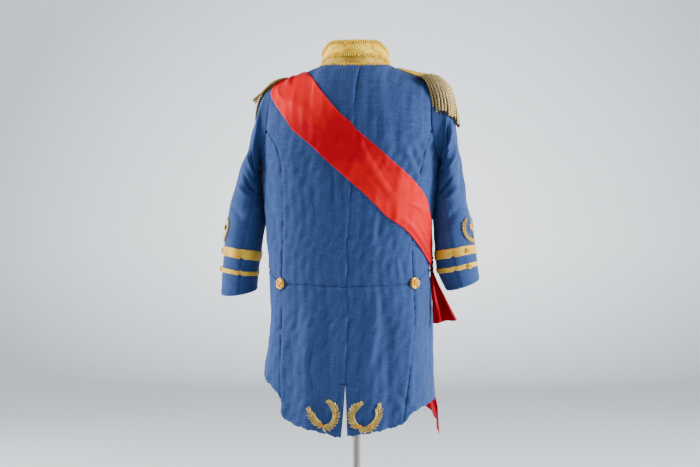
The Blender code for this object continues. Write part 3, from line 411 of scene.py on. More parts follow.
def sleeve_base(side, round_share, place):
    """A point of a sleeve's outer face. Place 0 is the armhole, and each ring of the table adds 1."""
    round_share, place = matched(round_share, place)
    angle = 2 * pi * round_share
    at = np.maximum(place - 1, 0)
    outer_x, outer_z, inner_x, inner_z, middle_y, half_depth = (
        smooth(column(SLEEVES[side], c), at) for c in range(len(Ring._fields))
    )
    swing, reach = np.cos(angle), np.sin(angle)
    ring = point(
        side * mix(inner_x, outer_x, 0.5 + 0.5 * swing),
        middle_y + half_depth * reach,
        mix(inner_z, outer_z, 0.5 + 0.5 * swing),
    )
    ring[..., 2] -= CUFF_DIP * ramp(place, CUFF_DIP_START, LAST_RING + 1) * reach
    edge = armhole_edge(round_share, side)
    return mix(edge, ring, np.clip(place, -0.2, 1)[..., None])


def sleeve_normal(side, round_share, place):
    place = np.clip(place, 0.05, LAST_RING)
    step_round, step_place = 0.01, 0.2
    behind = sleeve_base(side, round_share, np.maximum(place - step_place, 0))
    along = sleeve_base(side, round_share, place) - behind
    ahead, back = (sleeve_base(side, round_share + step, place) for step in (step_round, -step_round))
    across = ahead - back
    return unit(np.cross(along, across)) * side


def sleeve_point(side, round_share, place, out=0.0):
    """A point of a sleeve's outer face, or one raised above it."""
    round_share, place = matched(round_share, place)
    raised = np.broadcast_to(np.asarray(out, float), place.shape)[..., None]
    return sleeve_base(side, round_share, place) + sleeve_normal(side, round_share, place) * raised


# Shader node groups and materials


def feed(tree, socket, value):
    """Links an output to a socket, or sets the socket's plain value."""
    if isinstance(value, bpy.types.NodeSocket):
        tree.links.new(value, socket)
    else:
        socket.default_value = value


def add(tree, kind, values=None, **settings):
    """A node with its settings, and its inputs linked or set."""
    node = tree.nodes.new("ShaderNode" + kind)
    for key, value in settings.items():
        setattr(node, key, value)
    for key, value in (values or {}).items():
        feed(tree, node.inputs[key], value)
    return node


def maths(tree, operation, *values):
    node = add(tree, "Math", operation=operation)
    for socket, value in zip(node.inputs, values):
        feed(tree, socket, value)
    return node.outputs[0]


def times(tree, first, second):
    return maths(tree, "MULTIPLY", first, second)


def plus(tree, first, second):
    return maths(tree, "ADD", first, second)


def blend(tree, share, low, high):
    """A colour between two others."""
    node = add(tree, "Mix", data_type="RGBA")
    for number, value in ((0, share), (6, low), (7, high)):
        feed(tree, node.inputs[number], (*value, 1) if isinstance(value, tuple) else value)
    return node.outputs[2]


def spread(tree, value, low, high, start=0.0, end=1.0):
    """A value moved from one range to another."""
    values = {"Value": value, "From Min": low, "From Max": high, "To Min": start, "To Max": end}
    return add(tree, "MapRange", values).outputs[0]


def stretched(tree, vector, x, y, z=1.0):
    """A vector multiplied along each axis."""
    return add(tree, "VectorMath", {0: vector, 1: (x, y, z)}, operation="MULTIPLY").outputs[0]


def noise(tree, vector, scale, detail=2.0, roughness=0.5):
    values = {"Vector": vector, "Scale": scale, "Detail": detail, "Roughness": roughness}
    return add(tree, "TexNoise", values).outputs["Fac"]


def effect(name, inputs, outputs):
    """An empty node group with float inputs and outputs, and its two end nodes."""
    tree = bpy.data.node_groups.new(name, "ShaderNodeTree")
    for label, default in inputs:
        socket = tree.interface.new_socket(label, in_out="INPUT", socket_type="NodeSocketFloat")
        socket.default_value = default
    for label in outputs:
        tree.interface.new_socket(label, in_out="OUTPUT", socket_type="NodeSocketFloat")
    return tree, tree.nodes.new("NodeGroupInput"), tree.nodes.new("NodeGroupOutput")


def send(tree, end, **values):
    for label, value in values.items():
        tree.links.new(value, end.inputs[label])


def thread_place(tree):
    """Where a point lies along the weft and the warp, in metres."""
    return add(tree, "UVMap", uv_map="thread").outputs[0]


def slub_weave():
    """A plain weave with thick places in its yarns, longest along the warp."""
    tree, start, end = effect("slub_weave", (("Threads", 1300.0), ("Slub", 1.0)), ("Tone", "Height"))
    place = thread_place(tree)
    warp = noise(tree, stretched(tree, place, 620, 16), 1.0, 2.5, 0.62)
    weft = noise(tree, stretched(tree, place, 22, 520), 1.0, 2.0, 0.55)
    knots = noise(tree, stretched(tree, place, 380, 36), 1.0, 1.0)
    crossing = times(tree, spread(tree, weft, 0.32, 0.70), 0.45)
    streaks = plus(tree, times(tree, spread(tree, warp, 0.28, 0.74), 0.62), crossing)
    thick = times(tree, spread(tree, knots, 0.60, 0.74), 0.25)
    slubs = times(tree, plus(tree, streaks, thick), start.outputs["Slub"])
    fine = add(tree, "VectorMath", {0: place}, operation="SCALE")
    tree.links.new(start.outputs["Threads"], fine.inputs["Scale"])
    parts = add(tree, "SeparateXYZ", {0: fine.outputs[0]})
    over = maths(tree, "SINE", times(tree, parts.outputs[0], pi))
    under = maths(tree, "SINE", times(tree, parts.outputs[1], pi))
    grid = maths(tree, "MAXIMUM", maths(tree, "ABSOLUTE", over), maths(tree, "ABSOLUTE", under))
    tone = times(tree, slubs, 0.80)
    height = plus(tree, times(tree, grid, 0.35), times(tree, slubs, 0.65))
    send(tree, end, Tone=tone, Height=height)
    return tree


def crinkle():
    """Fine crushed wrinkles that run across and aslant, as in linen that was folded away. The thin line along
    the bottom of each is for painted shade.
    """
    tree, start, end = effect("crinkle", (("Size", 34.0),), ("Fold", "Line"))
    place = thread_place(tree)
    first = noise(tree, stretched(tree, place, 0.62, 1.25), start.outputs["Size"], 3.0, 0.55)
    slant = add(tree, "VectorRotate", {"Vector": place, "Angle": 0.9}, rotation_type="Z_AXIS")
    second = noise(tree, stretched(tree, slant.outputs[0], 0.45, 1.5), start.outputs["Size"], 2.0, 0.5)
    ridges = [maths(tree, "ABSOLUTE", maths(tree, "SUBTRACT", value, 0.5)) for value in (first, second)]
    low = maths(tree, "MINIMUM", *ridges)
    send(tree, end, Fold=spread(tree, low, 0.0, 0.10), Line=spread(tree, low, 0.0, 0.018))
    return tree


def satin_float():
    """Long floats of smooth yarn, with faint lines and soft clouds. The satin's painted sheen follows the
    clouds.
    """
    tree, start, end = effect("satin_float", (("Lines", 900.0), ("Cloud", 14.0)), ("Tone", "Height"))
    place = thread_place(tree)
    lines = noise(tree, stretched(tree, place, 1, 0.04), start.outputs["Lines"], 2.0)
    clouds = noise(tree, place, start.outputs["Cloud"], 3.0)
    send(tree, end, Tone=clouds, Height=plus(tree, lines, times(tree, clouds, 0.5)))
    return tree


def age_mottle():
    """Large soft patches where dust and light have changed a surface, and small specks."""
    tree, start, end = effect("age_mottle", (("Patch", 6.0), ("Speck", 180.0)), ("Patches", "Specks"))
    place = add(tree, "TexCoord").outputs["Object"]
    patches = spread(tree, noise(tree, place, start.outputs["Patch"], 4.0, 0.6), 0.36, 0.66)
    specks = spread(tree, noise(tree, place, start.outputs["Speck"], 1.0), 0.60, 0.72)
    send(tree, end, Patches=patches, Specks=specks)
    return tree


def rubbed_metal():
    """Bright on what stands up, dark in the hollows, with fine pits."""
    tree, start, end = effect("rubbed_metal", (("Pits", 700.0), ("Grain", 90.0)), ("Worn", "Dirt", "Height"))
    place = add(tree, "TexCoord").outputs["Object"]
    point_out = add(tree, "NewGeometry").outputs["Pointiness"]
    worn = spread(tree, point_out, 0.505, 0.56)
    dirt = spread(tree, point_out, 0.495, 0.44)
    grain = noise(tree, place, start.outputs["Grain"], 4.0, 0.6)
    pits = noise(tree, place, start.outputs["Pits"], 2.0)
    height = plus(tree, grain, times(tree, pits, 0.6))
    dirt = maths(tree, "MAXIMUM", dirt, times(tree, spread(tree, grain, 0.52, 0.75), 0.5))
    send(tree, end, Worn=worn, Dirt=dirt, Height=height)
    return tree


# How far across its thread map a tube's faces lie for each radian round it, and a bullion strand's pitch
ROUND_SCALE = 0.004
STRAND_PITCH = 0.0112


def laid_wire():
    """Fine wire coiled round the plies of a cord: a ridge along each ply, which the bullion turns into
    painted highlight on the ply and painted shade between the plies, and a close ribbing.
    """
    tree, start, end = effect("laid_wire", (("Pitch", STRAND_PITCH), ("Wires", 1500.0)), ("Ridge", "Rib"))
    parts = add(tree, "SeparateXYZ", {0: thread_place(tree)})
    angle = maths(tree, "DIVIDE", parts.outputs[0], ROUND_SCALE)
    climb = times(tree, parts.outputs[1], 2 * pi)
    climb = maths(tree, "DIVIDE", climb, start.outputs["Pitch"])
    ridge = maths(tree, "ABSOLUTE", maths(tree, "COSINE", maths(tree, "SUBTRACT", angle, climb)))
    across = plus(tree, times(tree, parts.outputs[1], start.outputs["Wires"]), angle)
    rib = maths(tree, "ABSOLUTE", maths(tree, "SINE", across))
    send(tree, end, Ridge=ridge, Rib=rib)
    return tree


GROUPS = {
    tree.name: tree
    for tree in (slub_weave(), crinkle(), satin_float(), age_mottle(), rubbed_metal(), laid_wire())
}


def use(tree, name, **values):
    """One of the groups, with its own values. Returns its outputs."""
    node = tree.nodes.new("ShaderNodeGroup")
    node.node_tree = GROUPS[name]
    for label, value in values.items():
        node.inputs[label].default_value = value
    return node.outputs


def bump(tree, height, distance, strength=1.0, under=None):
    node = add(tree, "Bump", {"Height": height, "Distance": distance, "Strength": strength})
    if under is not None:
        tree.links.new(under, node.inputs["Normal"])
    return node.outputs[0]


def new_material(name, **sockets):
    """A material whose shader has these plain values. Returns it with its tree and shader."""
    made = bpy.data.materials.new(name)
    made.use_nodes = True
    shader = made.node_tree.nodes["Principled BSDF"]
    for label, value in sockets.items():
        shader.inputs[label.replace("_", " ")].default_value = value
    return made, made.node_tree, shader


def wire(tree, shader, **values):
    """Links values to a shader's sockets."""
    for label, value in values.items():
        tree.links.new(value, shader.inputs[label.replace("_", " ")])


def cloth_material(name, dark, mid, light, threads=1300.0, slub=1.0):
    """A matt woven cloth in three tones of one colour, darkened along the bottom of its crinkles as painted
    shade.
    """
    made, tree, shader = new_material(name, Sheen_Weight=0.20, Sheen_Roughness=0.4, Specular_IOR_Level=0.25)
    shader.inputs["Sheen Tint"].default_value = (*light, 1)
    weave = use(tree, "slub_weave", Threads=threads, Slub=slub)
    age = use(tree, "age_mottle", Patch=5.0, Speck=160.0)
    tone = blend(tree, spread(tree, weave["Tone"], 0.05, 0.95), dark, light)
    tone = blend(tree, times(tree, age["Patches"], 0.35), tone, mid)
    fold = use(tree, "crinkle", Size=34.0)
    # Painted shade: the cloth is darkened along the bottom of each crinkle
    tone = blend(tree, spread(tree, fold["Line"], 0.0, 1.0, 0.45, 0.0), tone, dark)
    creased = bump(tree, fold["Fold"], 0.0006, 0.7)
    wire(tree, shader, Base_Color=tone, Normal=bump(tree, weave["Height"], 0.0004, 0.8, creased),
         Roughness=spread(tree, weave["Tone"], 0, 1, 0.94, 0.76))
    return made


def satin_material(name, dark, light, roughness, gleam=0.5, zones=(), folds=None):
    """Satin in two tones, with a gleam of the light tone's own colour. Soft clouds between the two tones are
    painted sheen.

    Zones are shares of the light tone by the way along the cloth: bands of painted highlight where high and
    painted shade where low. Folds say how close soft creases lie, and each crease is darkened as painted
    shade.
    """
    made, tree, shader = new_material(name, Specular_IOR_Level=gleam, Anisotropic=0.35)
    shader.inputs["Specular Tint"].default_value = (*light, 1)
    float_of = use(tree, "satin_float", Lines=900.0, Cloud=16.0)
    age = use(tree, "age_mottle", Patch=9.0, Speck=220.0)
    share = spread(tree, float_of["Tone"], 0.3, 0.7)
    if zones:
        parts = add(tree, "SeparateXYZ", {0: thread_place(tree)})
        slant = plus(tree, parts.outputs[1], times(tree, parts.outputs[0], 0.35))
        stray = times(tree, maths(tree, "SUBTRACT", float_of["Tone"], 0.5), 0.12)
        ramp_node = add(tree, "ValToRGB", {"Fac": plus(tree, slant, stray)})
        for place, value in zones:
            stop = ramp_node.color_ramp.elements.new(place)
            stop.color = (value, value, value, 1)
        parts = add(tree, "SeparateColor", {0: ramp_node.outputs["Color"]})
        clouds, along = times(tree, share, 0.20), times(tree, parts.outputs[0], 0.80)
        share = plus(tree, clouds, along)
    # Painted sheen: the tone between dark and light follows the clouds and the zones
    tone = blend(tree, share, dark, light)
    rough = spread(tree, age["Patches"], 0, 1, roughness - 0.05, roughness + 0.07)
    under = None
    if folds:
        lie = noise(tree, stretched(tree, thread_place(tree), *folds), 1.0, 2.0, 0.45)
        crease = spread(tree, maths(tree, "ABSOLUTE", maths(tree, "SUBTRACT", lie, 0.5)), 0.0, 0.13)
        # Painted shade: each crease is darkened towards the dark tone
        tone = blend(tree, spread(tree, crease, 0.0, 0.5, 0.45, 0.0), tone, dark)
        under = bump(tree, crease, 0.0022, 0.8)
    normal = bump(tree, float_of["Height"], 0.00025, 0.5, under)
    wire(tree, shader, Base_Color=tone, Roughness=rough, Normal=normal)
    return made


def gathered_material():
    """Gathered satin: a painted highlight on each puff and painted shade, brown, in the hollow beside it.
    Threads are counted in puffs.
    """
    made, tree, shader = new_material("gathered_gold", Specular_IOR_Level=0.2)
    parts = add(tree, "SeparateXYZ", {0: thread_place(tree)})
    puff = maths(tree, "ABSOLUTE", maths(tree, "SINE", times(tree, parts.outputs[1], pi)))
    age = use(tree, "age_mottle", Patch=60.0, Speck=420.0)
    # Painted highlight on the puffs and painted shade in the hollows between them
    tone = blend(tree, spread(tree, puff, 0.15, 0.75), (0.20, 0.090, 0.004), (1.0, 0.60, 0.020))
    tone = blend(tree, times(tree, age["Specks"], 0.5), tone, (0.30, 0.15, 0.012))
    wire(tree, shader, Base_Color=tone, Roughness=spread(tree, puff, 0.0, 1.0, 0.7, 0.42),
         Normal=bump(tree, puff, 0.0010, 0.7))
    return made


def metal_material(name, dark, light, roughness, metallic):
    """Old metal: rubbed bright on its edges, dark with dirt in its hollows."""
    made, tree, shader = new_material(name, Metallic=metallic)
    rub = use(tree, "rubbed_metal", Pits=700.0, Grain=110.0)
    tone = blend(tree, rub["Worn"], tuple(mix(d, l, 0.45) for d, l in zip(dark, light)), light)
    tone = blend(tree, rub["Dirt"], tone, dark)
    rough = spread(tree, rub["Dirt"], 0, 1, roughness, roughness + 0.25)
    wire(tree, shader, Base_Color=tone, Roughness=rough, Normal=bump(tree, rub["Height"], 0.0004, 0.5))
    return made


def bullion_material(name, hollow, middle, bright):
    """Cord wound with old gold wire, with a painted highlight along each ply and painted shade where the
    plies meet.
    """
    made, tree, shader = new_material(name, Metallic=0.35, Specular_IOR_Level=0.5)
    wire_of = use(tree, "laid_wire", Pitch=STRAND_PITCH)
    age = use(tree, "age_mottle", Patch=30.0, Speck=420.0)
    # Painted shade in the grooves between the plies and a painted highlight on their crests
    tone = blend(tree, spread(tree, wire_of["Ridge"], 0.22, 0.80), hollow, middle)
    tone = blend(tree, spread(tree, wire_of["Ridge"], 0.80, 1.0, 0.0, 0.75), tone, bright)
    tone = blend(tree, times(tree, age["Patches"], 0.25), tone, hollow)
    height = plus(tree, wire_of["Ridge"], times(tree, wire_of["Rib"], 0.3))
    wire(tree, shader, Base_Color=tone, Roughness=spread(tree, wire_of["Rib"], 0, 1, 0.55, 0.34),
         Normal=bump(tree, height, 0.0004, 0.7))
    return made


def stone_material():
    """Dull orange glass stones."""
    made, tree, shader = new_material(
        "orange_stone", Coat_Weight=0.04, Coat_Roughness=0.1, Specular_IOR_Level=0.1)
    age = use(tree, "age_mottle", Patch=150.0, Speck=900.0)
    tone = blend(tree, age["Patches"], (0.50, 0.12, 0.0), (0.74, 0.29, 0.0))
    wire(tree, shader, Base_Color=tone, Roughness=spread(tree, age["Specks"], 0, 1, 0.18, 0.4))
    return made


def steel_material():
    """Drawn steel, with fine lines along its length."""
    made, tree, shader = new_material("brushed_steel", Metallic=0.9)
    place = add(tree, "TexCoord").outputs["Object"]
    lines = noise(tree, stretched(tree, place, 60, 60, 0.6), 14.0, 3.0)
    age = use(tree, "age_mottle", Patch=22.0, Speck=350.0)
    tone = blend(tree, spread(tree, lines, 0.3, 0.7), (0.15, 0.14, 0.125), (0.40, 0.385, 0.36))
    tone = blend(tree, times(tree, age["Patches"], 0.3), tone, (0.17, 0.15, 0.13))
    wire(tree, shader, Base_Color=tone, Roughness=spread(tree, lines, 0.3, 0.7, 0.16, 0.30),
         Normal=bump(tree, lines, 0.0002, 0.6))
    return made


BLUE = cloth_material("blue_cloth", (0.012, 0.033, 0.116), (0.021, 0.052, 0.164), (0.036, 0.081, 0.238))
BLUE_THREAD = cloth_material(
    "blue_thread", (0.006, 0.016, 0.060), (0.010, 0.026, 0.090), (0.018, 0.042, 0.130), threads=2600.0)
BLACK = cloth_material(
    "black_cord", (0.006, 0.006, 0.007), (0.012, 0.012, 0.014), (0.025, 0.025, 0.028), threads=2600.0,
    slub=0.5)
LINEN = cloth_material(
    "form_linen", (0.42, 0.37, 0.29), (0.52, 0.47, 0.38), (0.64, 0.59, 0.50), threads=900.0, slub=0.7)

COLLAR_GOLD = satin_material(
    "collar_gold", (0.84, 0.42, 0.012), (1.0, 0.77, 0.070), 0.50, gleam=0.25, folds=(70, 13))
SHADED_GOLD = satin_material(
    "shaded_gold", (0.42, 0.24, 0.028), (0.72, 0.47, 0.075), 0.50, gleam=0.3, folds=(60, 15))
TRIM_GOLD = satin_material("trim_gold", (0.58, 0.33, 0.025), (0.90, 0.60, 0.09), 0.44, gleam=0.5)
BAND_GOLD = satin_material("band_gold", (0.50, 0.27, 0.022), (0.88, 0.56, 0.080), 0.50, gleam=0.3)
GATHERED_GOLD = gathered_material()

# Painted sheen on the sash: how light it is by the way down it, in metres from the shoulder seam. Its light
# bands are painted highlight and its dark ones painted shade.
SASH_SHEEN_ZONES = (
    (0.0, 0.0), (0.055, 0.0), (0.100, 0.95), (0.185, 1.0), (0.215, 0.10), (0.305, 0.0), (0.345, 0.60),
    (0.375, 0.35), (0.420, 1.0), (0.500, 0.70), (0.560, 0.0),
)
# The red satin's light and dark bands down the sash are painted sheen
RED = satin_material(
    "red_satin", (0.40, 0.0, 0.010), (0.76, 0.005, 0.010), 0.42, gleam=0.11, zones=SASH_SHEEN_ZONES)
RED_SHADE = satin_material(
    "red_satin_in_shade", (0.22, 0.0, 0.006), (0.46, 0.002, 0.014), 0.46, gleam=0.2, folds=(30, 7))

BULLION = bullion_material("bullion_thread", (0.002, 0.001, 0.0005), (0.62, 0.40, 0.12), (1.0, 0.88, 0.46))
BULLION_SHADE = bullion_material(
    "bullion_in_shade", (0.004, 0.002, 0.001), (0.060, 0.036, 0.012), (0.16, 0.10, 0.035))
LEAF_GOLD = metal_material("leaf_gold", (0.020, 0.011, 0.002), (0.60, 0.42, 0.10), 0.46, 0.40)
GILT = metal_material("gilt_metal", (0.055, 0.018, 0.002), (0.80, 0.42, 0.040), 0.34, 0.80)
# A darker copy of the gilt for each button's ground: painted shade between its knot and its rim
GILT_SHADE = metal_material("gilt_hollow", (0.006, 0.002, 0.001), (0.070, 0.024, 0.004), 0.55, 0.5)
POLE_FITTING = metal_material("pole_fitting", (0.06, 0.058, 0.055), (0.42, 0.41, 0.39), 0.35, 0.8)
STEEL = steel_material()
STONE = stone_material()


# Meshes


def put(name, data):
    """Puts an object into the scene."""
    made = bpy.data.objects.new(name, data)
    bpy.context.scene.collection.objects.link(made)
    return made


def finish_mesh(name, mesh, finish, angle):
    """Makes a piece of a mesh, with its finish. The angle is that from which its edges are sharp."""
    mesh.materials.append(finish)
    mesh.shade_smooth()
    mesh.set_sharp_from_angle(angle=radians(angle))
    made = put(name, mesh)
    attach(made, "root")
    return made


def quads(rows, columns, closed, start, flip):
    """Corner numbers of a grid's faces."""
    r, c = np.meshgrid(np.arange(rows - 1), np.arange(columns if closed else columns - 1), indexing="ij")
    n = (c + 1) % columns
    faces = np.stack([r * columns + c, r * columns + n, (r + 1) * columns + n, (r + 1) * columns + c], -1)
    faces = faces.reshape(-1, 4) + start
    return faces[:, ::-1] if flip else faces


def strip(first, second):
    """Faces between two closed lines of corners."""
    return np.stack([first, np.roll(first, -1), np.roll(second, -1), second], -1)


def fans(rows, columns):
    """Faces from a closed grid's first and last rows to one point each, numbered after the grid's own."""
    here = np.arange(columns)
    after = np.roll(here, -1)
    foot, head = np.full(columns, rows * columns), np.full(columns, rows * columns + 1)
    last = (rows - 1) * columns
    low, high = [foot, after, here], [head, last + here, last + after]
    return np.stack(low, -1).tolist() + np.stack(high, -1).tolist()


def mesh_of(name, points, faces, thread):
    """A mesh with its faces turned outward, and the places of its threads as a map."""
    mesh = bpy.data.meshes.new(name)
    mesh.from_pydata(points.tolist(), [], faces)
    bm = bmesh.new()
    bm.from_mesh(mesh)
    bmesh.ops.recalc_face_normals(bm, faces=bm.faces)
    bm.to_mesh(mesh)
    bm.free()
    layer = mesh.uv_layers.new(name="thread")
    corners = np.empty(len(mesh.loops), np.int32)
    mesh.loops.foreach_get("vertex_index", corners)
    layer.data.foreach_set("uv", thread[corners].astype(np.float32).ravel())
    return mesh


def travelled(path):
    """How far along a path each of its points lies."""
    return np.concatenate([[0], np.cumsum(np.linalg.norm(np.diff(path, axis=0), axis=1))])


def lengths(grid):
    """How far along its rows and columns each point of a grid lies, in metres."""
    across = np.linalg.norm(np.diff(grid, axis=1), axis=-1)
    along = np.linalg.norm(np.diff(grid, axis=0), axis=-1)
    u = np.concatenate([np.zeros((len(grid), 1)), np.cumsum(across, axis=1)], axis=1)
    u -= u[:, u.shape[1] // 2][:, None]
    v = np.concatenate([np.zeros((1, grid.shape[1])), np.cumsum(along, axis=0)], axis=0)
    return np.stack([u, np.broadcast_to(v[:, v.shape[1] // 2][:, None], u.shape)], axis=-1)


def outline(index):
    """The numbers round the edge of a grid of numbers, in order."""
    return np.concatenate([index[0, :-1], index[:-1, -1], index[-1, :0:-1], index[:0:-1, 0]])


# How far a cloth's rim stands out, as a share of the cloth's thickness
RIM = 0.28


def shell(name, outer, inner, finish, closed=False, thread=None, angle=48):
    """A cloth piece between two grids of points, with a rounded rim."""
    rows, columns = outer.shape[:2]
    count = rows * columns
    thread = (lengths(outer) if thread is None else thread).reshape(-1, 2)
    face, back = outer.reshape(-1, 3), inner.reshape(-1, 3)
    points, places = np.concatenate([face, back]), np.concatenate([thread, thread])
    faces = [quads(rows, columns, closed, 0, False), quads(rows, columns, closed, count, True)]
    index = np.arange(count).reshape(rows, columns)
    for line in (index[0], index[-1]) if closed else (outline(index),):
        middle = (face[line] + back[line]) / 2
        if closed:
            near = outer[1] if line[0] == 0 else outer[-2]
        else:
            r, c = np.divmod(line, columns)
            near = outer[np.clip(r, 1, rows - 2), np.clip(c, 1, columns - 2)]
        gap = np.linalg.norm(face[line] - back[line], axis=-1, keepdims=True)
        centre = len(points) + np.arange(len(line))
        points = np.concatenate([points, middle + unit(middle - near) * gap * RIM])
        places = np.concatenate([places, thread[line]])
        faces += [strip(line, centre), strip(centre, line + count)]
    mesh = mesh_of(name, points, np.concatenate(faces).tolist(), places)
    return finish_mesh(name, mesh, finish, angle)


# How far the ends of a tube stand out, as a share of its radius
TUBE_END = 0.3


def tube(path, radius, sides=10, ends=True, shape=None):
    """Points, faces and thread places of a tube along a path.

    Radius may change along it. Shape may give each point of the section its own share of the radius, from
    its angle and its distance along.
    """
    path = np.asarray(path, float)
    count = len(path)
    radius = np.broadcast_to(np.asarray(radius, float), count)
    tangent = unit(np.gradient(path, axis=0))
    side = np.cross(tangent[0], (0.31, 0.17, 0.93))
    side /= np.linalg.norm(side)
    sides_of = []
    for t in tangent:
        side = side - t * (side @ t)
        side = side / np.linalg.norm(side)
        sides_of.append(side)
    side = np.array(sides_of)
    other = np.cross(tangent, side)
    along = travelled(path)
    angle = np.arange(sides) / sides * 2 * pi
    reach = np.broadcast_to(radius[:, None], (count, sides))
    if shape is not None:
        reach = reach * shape(angle[None, :], along[:, None])
    swing, lift = np.cos(angle)[None, :, None], np.sin(angle)[None, :, None]
    ring = path[:, None] + reach[..., None] * (side[:, None] * swing + other[:, None] * lift)
    points = ring.reshape(-1, 3)
    faces = quads(count, sides, True, 0, False).tolist()
    thread = np.stack(np.broadcast_arrays(angle * ROUND_SCALE, along[:, None]), -1).reshape(-1, 2)
    if ends:
        foot = path[0] - tangent[0] * radius[0] * TUBE_END
        head = path[-1] + tangent[-1] * radius[-1] * TUBE_END
        points = np.concatenate([points, [foot, head]])
        faces += fans(count, sides)
        thread = np.concatenate([thread, [[0, 0], [0, along[-1]]]])
    return points, faces, thread


def cord_twist(pitch, depth=0.20, plies=2):
    """The section of a cord laid up from several plies."""
    return lambda a, s: 1 - depth + depth * 1.4 * np.abs(np.cos(plies * (a / 2 - pi * s / pitch)))


def joined(name, parts, finish, angle=60):
    """One piece from several lots of points, faces and thread places."""
    points, faces, threads, start = [], [], [], 0
    for part_points, part_faces, part_thread in parts:
        points.append(part_points)
        threads.append(part_thread)
        faces += [[c + start for c in face] for face in part_faces]
        start += len(part_points)
    mesh = mesh_of(name, np.concatenate(points), faces, np.concatenate(threads))
    return finish_mesh(name, mesh, finish, angle)


def spline(points, count):
    """Places spaced evenly along a smooth curve through some points."""
    points = np.asarray(points, float)
    fine = np.linspace(0, len(points) - 1, count * 6)
    curve = np.stack([smooth(column(points, c), fine) for c in range(points.shape[1])], -1)
    along = travelled(curve)
    even = np.linspace(0, along[-1], count)
    return np.stack([np.interp(even, along, curve[:, c]) for c in range(curve.shape[1])], -1)


# The coat's panels

# About how many metres one turn is, the shells' thickness, and the distance between their points
TURN_LENGTH = 0.305
WALL = 0.0018
SPACING = 0.0050

PRINCESS_TOP = 1.285
BODICE_FOOT = 0.915
# The level from which the bodice's rows run straight across it
LEVEL_ROWS = 1.0

# Soft creases: a line over a cloth between two places, how wide it is and how high it stands
Crease = namedtuple("Crease", "turn level to_turn to_level width depth")
CREASING = 1.2


def creases(*rows, scale=1.0):
    """Creases from the rows of a table. Scale makes their levels metres."""
    return [Crease(turn, level * scale, to_turn, to_level * scale, width, depth)
            for turn, level, to_turn, to_level, width, depth in rows]


CREASES = creases(
    (-1.0, 1.25, -1.0, 1.09, 0.03, 0.0045), (1.0, 1.105, 1.0, 1.06, 0.03, 0.002),
    (-0.366, 1.323, -0.4, 1.24, 0.009, -0.0022), (-0.3, 1.33, -0.33, 1.225, 0.012, 0.0015),
    (-0.522, 1.245, -0.638, 1.181, 0.0085, -0.006), (-0.47, 1.25, -0.56, 1.19, 0.011, 0.0036),
    (-0.6, 1.265, -0.655, 1.225, 0.008, -0.0036), (-0.56, 1.215, -0.64, 1.16, 0.009, 0.0034),
    (0.118, 1.201, 0.094, 1.112, 0.007, -0.0016), (0.07, 1.19, 0.055, 1.12, 0.006, 0.0012),
    (0.02, 1.187, 0.008, 1.112, 0.006, -0.0014), (0.18, 1.18, 0.14, 1.06, 0.011, 0.0014),
    (0.3, 1.24, 0.26, 1.13, 0.012, -0.0014), (0.43, 1.27, 0.41, 1.15, 0.011, 0.0014),
    (-0.324, 1.09, -0.31, 1.006, 0.008, -0.002), (-0.25, 1.08, -0.255, 0.985, 0.01, 0.0014),
    (-0.15, 1.1, -0.165, 0.96, 0.011, -0.0012), (-0.5, 0.984, -0.544, 0.929, 0.006, -0.0022),
    (-0.45, 0.99, -0.49, 0.935, 0.007, 0.0014), (-0.42, 1.06, -0.45, 0.975, 0.008, -0.0014),
    (-0.318, 0.905, -0.238, 0.719, 0.011, -0.003), (-0.27, 0.89, -0.19, 0.7, 0.012, 0.0022),
    (-0.374, 0.824, -0.29, 0.74, 0.008, -0.0022), (-0.13, 0.88, -0.11, 0.68, 0.014, -0.0016),
    (-0.458, 0.655, -0.56, 0.609, 0.007, -0.002), (-0.43, 0.64, -0.5, 0.595, 0.006, 0.0014),
    (-0.48, 0.86, -0.44, 0.7, 0.012, 0.0018), (0.494, 0.778, 0.476, 0.732, 0.007, -0.002),
    (0.43, 0.9, 0.43, 0.76, 0.009, -0.0018), (0.29, 0.78, 0.256, 0.66, 0.009, -0.0022),
    (0.34, 0.84, 0.3, 0.69, 0.011, 0.0018), (0.16, 0.88, 0.13, 0.69, 0.014, -0.0018),
    (0.09, 0.86, 0.075, 0.66, 0.011, 0.0012), (0.2, 0.64, 0.14, 0.595, 0.007, -0.0012),
    (0.7, 1.12, 0.64, 1.0, 0.011, -0.002), (0.84, 1.15, 0.8, 1.01, 0.013, 0.0022),
    (0.76, 0.9, 0.74, 0.72, 0.011, -0.0024), (-0.72, 1.12, -0.7, 0.99, 0.011, -0.002),
    (-0.86, 1.13, -0.84, 1.0, 0.013, 0.0022), (-0.77, 0.9, -0.74, 0.69, 0.011, -0.0024),
    (1.1, 1.15, 1.18, 1.0, 0.012, -0.0022), (1.28, 1.2, 1.26, 1.02, 0.013, 0.0018),
    (1.52, 1.18, 1.44, 1.01, 0.011, -0.0016), (1.7, 1.33, 1.64, 1.21, 0.011, 0.0014),
    (1.83, 1.12, 1.8, 0.97, 0.012, -0.0014), (-1.12, 1.16, -1.2, 0.99, 0.012, -0.0022),
    (-1.3, 1.19, -1.29, 1.01, 0.013, 0.0018), (-1.54, 1.17, -1.47, 1.0, 0.011, -0.0016),
    (-1.69, 1.32, -1.65, 1.2, 0.011, 0.0014), (-1.85, 1.14, -1.8, 0.96, 0.012, -0.0014),
    (1.15, 0.9, 1.12, 0.76, 0.011, -0.002), (1.33, 0.93, 1.26, 0.8, 0.011, 0.002),
    (-1.16, 0.9, -1.11, 0.72, 0.011, -0.002), (-1.34, 0.93, -1.25, 0.79, 0.011, 0.002),
)


def panel(made):
    """Hides the solid that a coat panel stands for."""
    node = made.name.removesuffix("_cloth")
    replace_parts(made, node)


